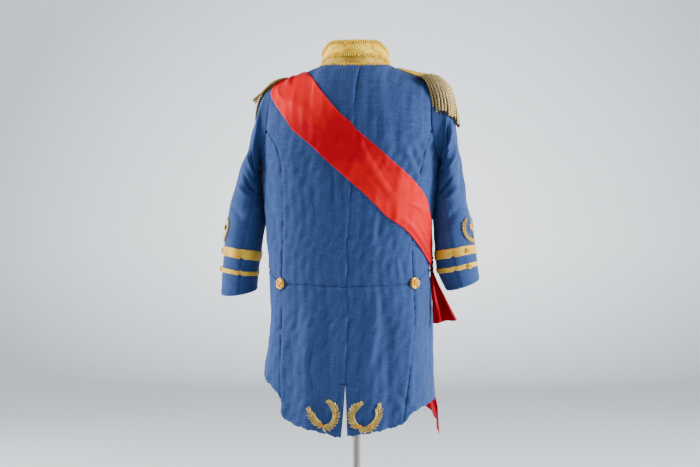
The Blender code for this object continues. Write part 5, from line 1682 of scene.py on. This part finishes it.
def shoulder_point(side, across, y, out):
    """A point on the epaulette: its height along the shoulder, rounded from front to back."""
    level = smooth(EPAULETTE_HEIGHT[side], across) - y * y * CROSS_DROOP
    if side < 0:
        level = level - smooth(STRAP_DROP, across) * ramp(y, -0.008, 0.021)
    return point(side * across + SHOULDER_SHIFT, NECK_Y - PADS[side].forward + y, level + out)


def pad_outline(pad, offset):
    """Half the epaulette's width at a place along it, in shares of the pad's half length."""
    oval = pad.half_width * np.sqrt(np.clip(1 - offset**2, 0.02, 1)) * (np.abs(offset) <= 1)
    strap = np.where((offset < 0) & (pad.strap_start is not None), STRAP_HALF_WIDTH, 0)
    return np.maximum(oval, strap)


def epaulette(side, word):
    """A laced board edged with cords, with its fringe. The right one has a strap to the collar."""
    pad = PADS[side]
    start, end = pad.strap_start or pad.middle - pad.half_length, pad.middle + pad.half_length
    across = np.linspace(start, end, 90)[:, None]
    half = pad_outline(pad, (across - pad.middle) / pad.half_length)
    share = np.linspace(-1, 1, 41)[None, :]
    y = half * share
    across = np.broadcast_to(across, y.shape)
    lace = 0.0005 * np.abs(np.sin((across * 420) + np.abs(y) * 300)) * (1 - np.abs(share) ** 8)
    stripe = -0.0005 * bell(np.abs(share) - 0.72, 0.05)
    edge = np.minimum((1 - np.abs(share)) * half, np.minimum(across - start, end - across))
    top = lace + stripe - 0.0007 * bell(edge, 0.0015)
    outer = shoulder_point(side, across, y, top)
    inner = shoulder_point(side, across, y, -BOARD + 0.0002 + 0 * top)
    board = shell(f"epaulette_{word}_lace", outer, inner, BAND_GOLD, angle=60)
    opening = radians(158) if pad.strap_start else pi
    angles = np.linspace(-opening, opening, 120)
    rims = []
    for reach, radius in ((0.0, 0.0030), (-0.0062, 0.0020)):
        x = pad.middle + (pad.half_length + reach) * np.cos(angles)
        line = shoulder_point(side, x, (pad.half_width + reach) * np.sin(angles), 0.0006 + 0 * x)
        rims.append(tube(line, radius, 10, shape=cord_twist(STRAND_PITCH)))
    if pad.strap_start:
        x = np.linspace(pad.strap_start, 0.166, 90)
        for hand in (-1, 1):
            line = shoulder_point(side, x, hand * (STRAP_HALF_WIDTH + 0 * x), 0.0004 + 0 * x)
            rims.append(tube(line, 0.0019, 10, shape=cord_twist(STRAND_PITCH)))
    joined(f"epaulette_{word}_cords", rims, BULLION)
    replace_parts(board, f"epaulette_{word}")
    fringe(side, word)


def on_rim(side, angle, reach, out):
    """A point over an epaulette at an angle round its pad. Reach 1 is the rim."""
    pad = PADS[side]
    x, y = pad.half_length * reach * cos(angle), pad.half_width * reach * sin(angle)
    here = shoulder_point(side, pad.middle + min(x, pad.half_length), y, out)
    here[0] = side * (pad.middle + x) + SHOULDER_SHIFT
    return here


def fringe(side, word):
    """Twisted bullion hanging from the pad's rim, in two plies, each end tapered and rounded off."""
    pad = PADS[side]
    draw = random.Random(40 + side)
    upper, lower = [], []
    for k in range(2 * pad.strands - 1):
        under = k % 2
        angle = radians(mix(pad.first, pad.last, (k / 2 + 0.25) / pad.strands))
        sideness = abs(sin(angle))
        ahead = cos(angle) + STRAND_SLANT[side] * sideness
        outward = unit(np.array((side * ahead / pad.half_length, sin(angle) / pad.half_width, 0)))
        tip_only = side == 1 and not under and angle > SHORT_STRANDS

        places = ((1.0, -0.001),) if under else ((0.45, 0.0030), (0.75, 0.0032), (1.05, 0.0016))
        line = [on_rim(side, angle, reach, out) for reach, out in places]
        here = line[-1]
        if tip_only:
            step = draw.uniform(0.005, 0.010)
        else:
            step = mix(*STRAND_LENGTH[side], sideness) / 3 * draw.uniform(0.94, 1.04)
        for n in range(3):
            first = mix(*STRAND_FIRST_LEAN[side], sideness)
            lean = radians(40 if tip_only else mix(first, STRAND_LAST_LEAN[side], n / 2))
            here = here + outward * cos(lean) * step + np.array((0, 0, -sin(lean) * step))
            line.append(here)
        path = spline(line, STRAND_POINTS)
        sway = np.linspace(0, 1, STRAND_POINTS)[:, None] ** 1.6
        path = path + np.cross(outward, (0, 0, 1)) * sway * draw.uniform(-0.0018, 0.0018)
        path = path + outward * sway * draw.uniform(-0.0006, 0.0012)
        radius = np.full(STRAND_POINTS, STRAND_RADIUS * draw.uniform(0.94, 1.04))
        radius[:3] *= (0.7, 0.85, 0.95)
        radius[-3:] *= (1.06, 0.98, 0.66)
        layer = lower if under and side < 0 else upper
        layer.append(tube(path, radius, 10, shape=cord_twist(STRAND_PITCH, 0.34)))
    made = joined(f"fringe_{word}_bullion", upper, BULLION)
    if lower:
        joined(f"fringe_{word}_under_layer", lower, BULLION_SHADE)
    angle = np.radians(mix(pad.first, pad.last, np.arange(60) / 59))
    across = pad.middle + (pad.half_length + TAPE_OUT) * np.cos(angle)
    y = (pad.half_width + TAPE_OUT) * np.sin(angle)
    rim = shoulder_point(side, np.minimum(across, pad.middle + pad.half_length), y, 0)
    rim[:, 0] = side * across + SHOULDER_SHIFT
    row = rim[None] + np.array((0, 0, -1)) * np.linspace(0.0002, 0.0048, 4)[:, None, None]
    away = rim - (side * pad.middle + SHOULDER_SHIFT, NECK_Y - pad.forward, 0)
    away = unit(away * (1, 1, 0))
    shell(f"fringe_{word}_tape", row + away * 0.0008, row - away * 0.0002, TRIM_GOLD)
    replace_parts(made, f"fringe_{word}")


# Sash, its tie and its tails

# How wide the sash is, how far apart its table's rows lie, the last row and where it begins to gather
SASH_WIDTH = 0.110
SASH_STEP = 0.036
SASH_END = len(SASH) - 1
GATHER_START = 12.6
SATIN = 0.0009
# Creases by share across, from the upper edge, and by row of the table
SASH_CREASES = creases(
    (0.9, 0.4, 0.86, 3.0, 0.006, -0.0038), (0.76, 0.6, 0.8, 3.4, 0.007, 0.003),
    (0.56, 0.0, 0.6, 1.5, 0.006, -0.0036), (0.44, 0.2, 0.46, 2.4, 0.008, 0.0026),
    (0.22, 1.2, 0.3, 3.6, 0.011, -0.0018), (0.7, 3.6, 0.5, 6.4, 0.013, 0.0016),
    (0.35, 4.6, 0.18, 7.4, 0.012, -0.0016), (0.08, 8.2, 0.46, 11.4, 0.0075, -0.0026),
    (0.22, 8.0, 0.6, 11.2, 0.01, 0.0018), (0.66, 8.8, 0.78, 11.6, 0.011, -0.0014),
    (0.34, 12.2, 0.02, 13.2, 0.006, -0.0024), (0.46, 12.4, 0.12, 13.8, 0.007, 0.0022),
    (0.62, 12.0, 0.4, 14.8, 0.008, -0.0026), (0.84, 12.6, 0.66, 15.2, 0.008, 0.0024),
    scale=SASH_STEP,
)
FRONT_SASH_CREASES = creases(
    (0.3, 0.4, 0.34, 3.2, 0.007, -0.0032), (0.62, 0.2, 0.58, 2.6, 0.007, 0.0028),
    (0.82, 0.6, 0.78, 3.8, 0.008, -0.0026), (0.4, 4.0, 0.6, 7.2, 0.012, 0.0018),
    (0.2, 6.4, 0.44, 9.6, 0.01, -0.002), (0.7, 8.4, 0.56, 11.6, 0.011, 0.0016),
    (0.3, 11.8, 0.6, 14.6, 0.008, -0.0026), (0.1, 12.6, 0.38, 15.0, 0.007, 0.0022),
    scale=SASH_STEP,
)


def over_coat(turn, level):
    """A height that clears the coat's own folds, for cloth that lies on it."""
    relief = coat_relief(turn, level)
    return 0.5 * (relief + np.sqrt(relief**2 + 0.0008**2))


def hemmed(share, width, along):
    """A narrow rolled hem on both long edges, with its stitches drawn in."""
    edge = np.minimum(share, 1 - share) * width
    roll = 0.0005 * bell(edge - 0.0022, 0.0016) - 0.0007 * bell(edge, 0.0010)
    return roll - 0.0003 * bell(edge - 0.0050, 0.0009) * (0.6 + 0.4 * np.sin(along * 1100))


def sash_half(name, lines, to_turn, seed):
    """The sash's back or front half, from the shoulder seam to the hip, where it gathers in pleats."""
    place = np.linspace(0, SASH_END, 210)[:, None]
    share = np.linspace(0, 1, 50)[None, :]
    upper_turn, upper_level, lower_turn, lower_level = (smooth(column(SASH, c), place) for c in range(4))
    turn = to_turn(mix(upper_turn, lower_turn, share))
    level = np.minimum(mix(upper_level, lower_level, share), SHOULDER_EDGE)
    across = np.broadcast_to(share, turn.shape)
    along = np.broadcast_to(place * SASH_STEP, turn.shape)
    folds = crease_height(across, along, lines, SASH_WIDTH) + rumple(across * SASH_WIDTH, along, 0.0006, seed)
    gather = ramp(place, GATHER_START, SASH_END)
    pleats = 0.0030 * gather * np.sin(share * 2 * pi * 4.3 + 0.6 * np.sin(place * 2.1) + seed)
    near_end = 1 - ramp(np.abs(place - SASH_END), 0.0, 0.6)
    height = over_coat(turn, level) + 0.0010 + 0.0030 * gather
    raised = height + 0.0012 + folds * (1 - 0.4 * gather) + pleats
    raised = raised + hemmed(across, SASH_WIDTH, along) - 0.001 * near_end
    raised = np.maximum(raised, height * 0.5 + 0.0016)
    thread = np.stack([across * SASH_WIDTH, along], -1)
    outer, inner = coat_point(turn, level, raised), coat_point(turn, level, raised - SATIN)
    made = shell(f"{name}_satin", outer, inner, RED, thread=thread)
    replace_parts(made, name)
    return made


def sash():
    """The sash's two halves, its knot with the cord round it, and its two tails."""
    back = sash_half("sash_back", SASH_CREASES, lambda turn: turn, 61)
    front = sash_half("sash_front", FRONT_SASH_CREASES, lambda turn: 2 - turn, 67)
    tie()
    short_tail()
    long_tail()


# The knot: its foot and height, its middle's distance off the coat, and its core's share of its size
KNOT_FOOT = 0.946
KNOT_HEIGHT = 0.055
KNOT_OUT = 0.0040
KNOT_CORE = 0.3
# The black cord: the levels of its turns, where its loose ends lie, and the radii of both
CORD_LEVELS = (0.9925, 0.9885, 0.9740, 0.9700, 0.9560)
CORD_ENDS = ((-0.955, 0.978), (-1.047, 0.962), (-0.962, 0.938))
CORD_RADIUS = 0.0015
CORD_END_RADIUS = 0.0017
CORD_PITCH = 0.0030


def tie():
    """The gathered cloth at the hip, held by turns of black cord."""
    level = np.linspace(KNOT_FOOT, KNOT_FOOT + KNOT_HEIGHT, 36)[:, None]
    angle = (np.arange(56) / 56 * 2 * pi)[None, :]
    waist = 1 - 0.20 * np.sin(pi * (level - KNOT_FOOT) / KNOT_HEIGHT)
    pleat = 1 + 0.10 * np.sin(9 * angle + 30 * level) * np.sin(angle / 2)
    turn = -1 + 0.026 * waist * pleat * np.cos(angle)
    out = KNOT_OUT + 0.0031 * waist * pleat * np.sin(angle)
    bundle = coat_point(turn, level + 0 * turn, out)
    core = coat_point(mix(-1, turn, KNOT_CORE), level + 0 * turn, mix(KNOT_OUT, out, KNOT_CORE))
    knot = shell("sash_knot", bundle, core, RED, closed=True)
    cords = []
    turns = np.linspace(0, 2 * pi, 49)
    for number, height in enumerate(CORD_LEVELS):
        slope = 0.0022 * sin(number * 2.4)
        out = 0.0042 + 0.0036 * np.sin(turns)
        line = coat_point(-1 + 0.0265 * np.cos(turns), height + slope * np.cos(turns), out)
        cords.append(tube(line, CORD_RADIUS, 8, ends=False, shape=cord_twist(CORD_PITCH)))
    share = np.linspace(0, 1, 24)
    for number, (to_turn, to_level) in enumerate(CORD_ENDS):
        level = mix(0.980 - 0.010 * number, to_level, share) - 0.004 * np.sin(pi * share)
        line = coat_point(mix(-1.0, to_turn, share), level, mix(0.0088, 0.0036, share**2))
        cords.append(tube(line, CORD_END_RADIUS, 8, shape=cord_twist(CORD_PITCH)))
    made = joined("sash_tie_cord", cords, BLACK)
    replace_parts(made, "sash_tie")


TAIL_TOP = TIE_FOOT - SEAM_GAP

# The short tail, one row a level: its two edges across and up, its middle along y and its folds' height
ShortTail = namedtuple("ShortTail", "inner outer y inner_level outer_level fold")
SHORT_TAIL = (
    ShortTail(-0.1838, -0.1905, 0.0062, TAIL_TOP, TAIL_TOP, 0.0004),
    ShortTail(-0.1865, -0.2040, 0.0180, 0.9180, 0.9180, 0.0030),
    ShortTail(-0.1895, -0.2225, 0.0280, 0.8800, 0.8820, 0.0060),
    ShortTail(-0.1915, -0.2385, 0.0345, 0.8470, 0.8520, 0.0080),
    ShortTail(-0.1930, -0.2520, 0.0380, 0.8180, 0.8265, 0.0090),
)
SHORT_TAIL_CREASES = creases(
    (0.20, 0.10, 0.16, 0.95, 0.006, -0.0020), (0.48, 0.15, 0.52, 0.80, 0.006, 0.0018),
    (0.74, 0.20, 0.80, 0.90, 0.005, -0.0018),
)


def short_tail():
    """The tail that flares out at the hip, in standing folds that open towards its foot."""
    place = np.linspace(0, len(SHORT_TAIL) - 1, 80)[:, None]
    across = np.linspace(0, 1, 90)[None, :]
    inner, outer, y, inner_level, outer_level, fold = (smooth(column(SHORT_TAIL, c), place) for c in range(6))
    share = place / (len(SHORT_TAIL) - 1)
    wave = fold * np.sin(pi * (0.2 + 2.6 * across**1.3))
    fine = 0.0010 * share * np.sin(across * 21 + 2 * share) + 0.0010 * (1 - share) * np.sin(across * 40)
    crease = crease_height(across, share, SHORT_TAIL_CREASES, 0.06)
    x = mix(inner, outer, across)
    level = mix(inner_level, outer_level, across) - 0.0012 * share * np.sin(across * 9)
    base = y + wave + fine + crease
    front, back = point(x, base + 0.0012, level), point(x, base + 0.0002, level)
    thread = np.stack(np.broadcast_arrays(across * 0.09, share * 0.13), -1)
    made = shell("sash_tail_short_satin", front, back, RED_SHADE, thread=thread)
    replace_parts(made, "sash_tail_short")


# The long tail: about how wide and long it is, and its two edges as turns by the share of the way down
LONG_TAIL_WIDTH = 0.07
LONG_TAIL_LENGTH = 0.38
LONG_TAIL_NEAR = ((0.0, 1.012), (0.10, 1.100), (0.25, 1.210), (0.78, 1.210), (0.90, 1.090), (1.0, 1.040))
LONG_TAIL_FAR = ((0.0, 1.080), (0.28, 1.320), (1.0, 1.330))


def long_tail():
    """The long tail that hangs down the side seam to a point, in folds that fan out of the tie."""
    share = np.linspace(0, 1, 170)[:, None]
    across = np.linspace(0, 1, 60)[None, :]
    near, far = smooth(LONG_TAIL_NEAR, share), smooth(LONG_TAIL_FAR, share)
    turn = -mix(near, far, across)
    level = mix(TAIL_TOP, mix(0.538, 0.600, across), share)
    fan = ramp(share, 0.0, 0.35)
    folds = 0.0024 * np.sin(across * 2 * pi * 2.6 + 0.9 * share) * mix(0.5, 1.0, fan)
    along = share * LONG_TAIL_LENGTH
    folds = folds + rumple(across * LONG_TAIL_WIDTH, along, 0.0010, 71) * fan
    height = over_coat(turn, level) + 0.0026
    raised = height + 0.0024 + folds + hemmed(across, LONG_TAIL_WIDTH, along)
    thread = np.stack(np.broadcast_arrays(across * 0.08, along), -1)
    outer, inner = coat_point(turn, level, raised), coat_point(turn, level, raised - SATIN)
    made = shell("sash_tail_long_satin", outer, inner, RED_SHADE, thread=thread)
    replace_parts(made, "sash_tail_long")


# Dress form and stand

# How far out the form's shoulders reach, and how far it lies inside the coat below and at the shoulders
FORM_SHOULDER = 0.190
FORM_CLEARANCE = 0.0075
FORM_SEAT = 0.0005
FORM_ROUNDING = 0.0032
FORM_SEAMS = (0, 0.5, 1, 1.5, 2, -0.5, -1, -1.5)
# The neck's rings above the shoulder seam, by scale and height over it, and the cap's by scale and height
NECK_RINGS = ((0.97, 0.001), (0.94, 0.003), (0.925, 0.006), (0.92, 0.010))
CAP_RINGS = ((0.995, 1.462), (0.99, 1.468), (0.97, 1.474), (0.93, 1.478), (0.80, NECK_CAP_TOP),
             (0.4, NECK_CAP_TOP))


def form_point(turn, level):
    """A point of the form: well inside the coat below the chest, and just under it at the shoulders."""
    drop = CLOTH + mix(FORM_CLEARANCE, FORM_CLEARANCE / 2, np.clip((level - 1.20) / 0.09, 0, 1))
    low = body_point(turn, np.minimum(level, CHEST))
    low = low - body_normal(turn, np.minimum(level, CHEST)) * drop[..., None]
    lift = np.clip((level - CHEST) / (SHOULDER - CHEST), 0, 1)
    inset = CLOTH + mix(FORM_CLEARANCE / 2, FORM_SEAT, lift) + FORM_ROUNDING * np.sin(pi * lift)
    high = body_point(turn, level)
    y = mix(high[..., 1], NECK_Y, 1.5 * inset / NECK_BACK * (1 - lift))
    across = high[..., 0] - SHOULDER_SHIFT
    kept = mix(1, 0.3, np.clip(2 * lift, 0, 1))
    narrowed = SHOULDER_SHIFT + np.copysign(mix(FORM_SHOULDER, np.abs(across), kept), across)
    x = np.where(np.abs(across) > FORM_SHOULDER, narrowed, high[..., 0])
    return np.where((level <= CHEST)[..., None], low, point(x, y, high[..., 2] - inset))


def dress_form():
    """The form in linen, with its seams, a rounded neck and a flat board under it."""
    turns = np.arange(160) / 160 * 4 - 2
    levels = np.concatenate([np.linspace(FORM_BOTTOM, CHEST, 60), np.linspace(CHEST, SHOULDER, 22)[1:]])
    turn, level = np.meshgrid(turns, levels)
    outside = form_point(turn, level)
    outside[0, :, 2] = FORM_BOTTOM
    rings = []
    half = np.abs(turns)
    at_neck = np.where(half <= 1, np.minimum(half, NECK_TURN), np.maximum(half, 2 - NECK_TURN))
    top = form_point(np.copysign(at_neck, turns), np.full(turns.shape, SHOULDER))
    for scale, lift in NECK_RINGS:
        rings.append(top * (scale, scale, 1) + (SHOULDER_SHIFT * (1 - scale), NECK_Y * (1 - scale), lift))
    neck = rings[-1]
    for scale, height in CAP_RINGS:
        ring = neck * (scale, scale, 1) + (SHOULDER_SHIFT * (1 - scale), NECK_Y * (1 - scale), 0)
        ring[:, 2] = height
        rings.append(ring)
    foot = outside[0]
    under = [foot * (s, s, 1) + (0.015 * (1 - s), 0, 0) for s in (0.15, 0.60, 0.94)]
    grid = np.stack(under + list(outside) + rings)
    to_seam = np.minimum.reduce([np.abs(wrap(turns - t)) for t in FORM_SEAMS])
    seams = bell(to_seam, 0.006)
    groove = unit((grid - (0.012, 0, 0)) * (1, 1, 0)) * seams[None, :, None] * 0.0007
    grid[3:-8] -= groove[3:-8]
    rows, columns = grid.shape[:2]
    points = np.concatenate([grid.reshape(-1, 3), grid[0].mean(0)[None], grid[-1].mean(0)[None]])
    faces = quads(rows, columns, True, 0, False).tolist() + fans(rows, columns)
    thread = np.stack(np.broadcast_arrays(turns[None] * 0.3, grid[..., 2]), -1).reshape(-1, 2)
    thread = np.concatenate([thread, np.zeros((2, 2))])
    made = joined("dress_form_linen", [(points, faces, thread)], LINEN, 50)
    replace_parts(made, "dress_form")


def turned(name, profile, finish, sides):
    """A solid turned about the Z axis, from a profile that starts and ends on it."""
    angles = np.arange(sides) / sides * 2 * pi
    inner = profile[1:-1]
    grid = np.stack([point(r * np.cos(angles), r * np.sin(angles), np.full(sides, z)) for r, z in inner])
    points = np.concatenate([grid.reshape(-1, 3), [(0, 0, profile[0][1]), (0, 0, profile[-1][1])]])
    faces = quads(len(inner), sides, True, 0, False).tolist() + fans(len(inner), sides)
    return joined(name, [(points, faces, points[:, :2])], finish, 32)


def stand():
    """A flat round base with an eased edge and a groove, and a pole with a fitting at each end."""
    top, edge = BASE_HEIGHT, BASE_RADIUS
    base = [(0, 0.001), (edge - 0.012, 0.001), (edge - 0.010, 0.0), (edge - 0.002, 0.0), (edge, 0.002),
            (edge, top - 0.0035), (edge - 0.0012, top - 0.0012), (edge - 0.0040, top), (edge - 0.012, top),
            (edge - 0.013, top - 0.0006), (edge - 0.0145, top - 0.0006), (edge - 0.0155, top), (0.030, top),
            (0, top)]
    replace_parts(turned("base_plate", base, STEEL, 120), "base")
    foot, head, r = BASE_HEIGHT + SEAM_GAP, FORM_BOTTOM - SEAM_GAP, POLE_RADIUS
    pole = [(0, foot), (0.0255, foot), (0.0260, foot + 0.0010), (0.0260, 0.0170), (0.0250, 0.0185),
            (0.0190, 0.0200), (0.0150, 0.0240), (0.0128, 0.0300), (0.0122, 0.0440), (0.0128, 0.0450),
            (0.0128, 0.0500), (0.0118, 0.0512), (r, 0.0520), (r, 0.40), (r, 0.776), (0.0125, 0.777),
            (0.0130, 0.779), (0.0130, 0.796), (0.0122, head), (0, head)]
    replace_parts(turned("pole_tube", pole, STEEL, 48), "pole")
    for number in range(3):
        angle = number * 2 * pi / 3 + 0.3
        place = np.array((0.0215 * cos(angle), 0.0215 * sin(angle), 0.0190))
        points, faces, thread = dome(0.0022, 0.0012, 4, 16)
        joined(f"pole_screw_{number + 1}", [(points + place, faces, thread)], POLE_FITTING)


# Studio

# The photo's width, the column of the coat's middle in it and its focal length, all in its pixels
PHOTO_WIDTH = 700
AXIS_PIXEL = 356.5
FOCAL_PIXELS = 1440
CAMERA_DISTANCE = 3.6
CAMERA_HEIGHT = 1.03875
CAMERA_TURN = radians(5)
SENSOR = 36.0

# The floor is flat out to a circle, and bends up into a wall
FLOOR_RADIUS = 6.6
BEND_RADIUS = 3.4
WALL_TOP = 8.0
# The middle of the backdrop's painted pool of light, behind the coat as the camera sees it
BACKDROP_GLOW_SPOT = (0.6, -9.6, 0.5)


def camera():
    """Level, behind the coat and a little to the wearer's right."""
    data = bpy.data.cameras.new("camera")
    data.sensor_width = SENSOR
    data.lens = FOCAL_PIXELS / PHOTO_WIDTH * SENSOR
    data.shift_x = (PHOTO_WIDTH / 2 - AXIS_PIXEL) / PHOTO_WIDTH
    made = put("camera", data)
    back = Vector((-sin(CAMERA_TURN), cos(CAMERA_TURN), 0))
    made.location = back * CAMERA_DISTANCE + Vector((0, 0, CAMERA_HEIGHT))
    made.rotation_euler = back.to_track_quat("Z", "Y").to_euler()
    bpy.context.scene.camera = made


def lamp(name, place, size, power):
    """A soft lamp turned to the middle of the coat."""
    data = bpy.data.lights.new(name, "AREA")
    data.shape = "RECTANGLE"
    data.size, data.size_y = size
    data.energy = power
    made = put(name, data)
    made.location = place
    made.visible_camera = False
    made.rotation_euler = (Vector(place) - Vector((0, 0, 1.0))).to_track_quat("Z", "Y").to_euler()


def studio():
    """A pale floor that sweeps up all round into a pale wall, and soft light from both sides. The paper glows
    with painted light, brightest round a spot behind the coat, and is darker towards the floor and on the
    side behind the camera.
    """
    backdrop, tree, shader = new_material("backdrop_paper", Roughness=0.9)
    place = add(tree, "TexCoord").outputs["Object"]
    parts = add(tree, "SeparateXYZ", {0: place})
    # The paper's tone is darker on the side behind the camera and towards the floor
    behind = spread(tree, parts.outputs[1], 3.0, -2.5)
    tone = blend(tree, noise(tree, place, 0.6, 1.0), (0.77, 0.815, 0.855), (0.80, 0.845, 0.885))
    tone = blend(tree, behind, (0.40, 0.42, 0.44), tone)
    tone = blend(tree, spread(tree, parts.outputs[2], 0.9, -0.1), tone, (0.61, 0.65, 0.69))
    # Painted light: the paper glows, most round a spot behind the coat
    spot = add(tree, "VectorMath", {0: place, 1: BACKDROP_GLOW_SPOT}, operation="DISTANCE")
    glow = spread(tree, spot.outputs["Value"], 1.0, 3.8, 1.75, 0.32)
    wire(tree, shader, Base_Color=tone, Emission_Color=tone, Emission_Strength=glow)
    bm = bmesh.new()
    bend = [(FLOOR_RADIUS + BEND_RADIUS * sin(a), BEND_RADIUS - BEND_RADIUS * cos(a))
            for a in (k * pi / 32 for k in range(1, 17))]
    profile = [(0, 0), (FLOOR_RADIUS, 0), *bend, (FLOOR_RADIUS + BEND_RADIUS, WALL_TOP)]
    line = [bm.verts.new((reach, 0, height - 0.001)) for reach, height in profile]
    edges = [bm.edges.new(pair) for pair in zip(line, line[1:])]
    bmesh.ops.spin(bm, geom=line + edges, cent=(0, 0, 0), axis=(0, 0, 1), angle=2 * pi, steps=64)
    bmesh.ops.remove_doubles(bm, verts=bm.verts, dist=1e-4)
    mesh = bpy.data.meshes.new("studio_floor")
    bm.to_mesh(mesh)
    bm.free()
    mesh.shade_smooth()
    mesh.materials.append(backdrop)
    floor = put("studio_floor", mesh)
    world = bpy.data.worlds.new("studio_air")
    world.use_nodes = True
    air = world.node_tree.nodes["Background"].inputs
    air["Color"].default_value, air["Strength"].default_value = (0.82, 0.87, 0.92, 1), 0.12
    bpy.context.scene.world = world
    lamp("key", (4.3, 0.20, 2.3), (1.3, 2.4), 455)
    lamp("fill", (-4.2, 0.40, 2.1), (1.3, 2.4), 480)
    lamp("soft", (0.6, 4.4, 3.0), (2.4, 1.6), 14)
    lamp("front_key", (-2.4, -3.4, 2.8), (2.2, 2.2), 60)
    lamp("front_fill", (3.0, -2.6, 2.2), (2.4, 2.4), 36)
    lamp("top", (0, 0.5, 4.2), (2.6, 2.6), 14)


# Build

for build_side, side_word in SIDES.items():
    bodice(build_side, side_word)
    skirts(build_side, side_word)
    sleeve(build_side, side_word)
    cuff_trims(build_side, side_word)
    tail_spray(build_side, side_word)
    epaulette(build_side, side_word)
vent_tack()
coat_buttons()
collar()
sash()
dress_form()
stand()
camera()
studio()
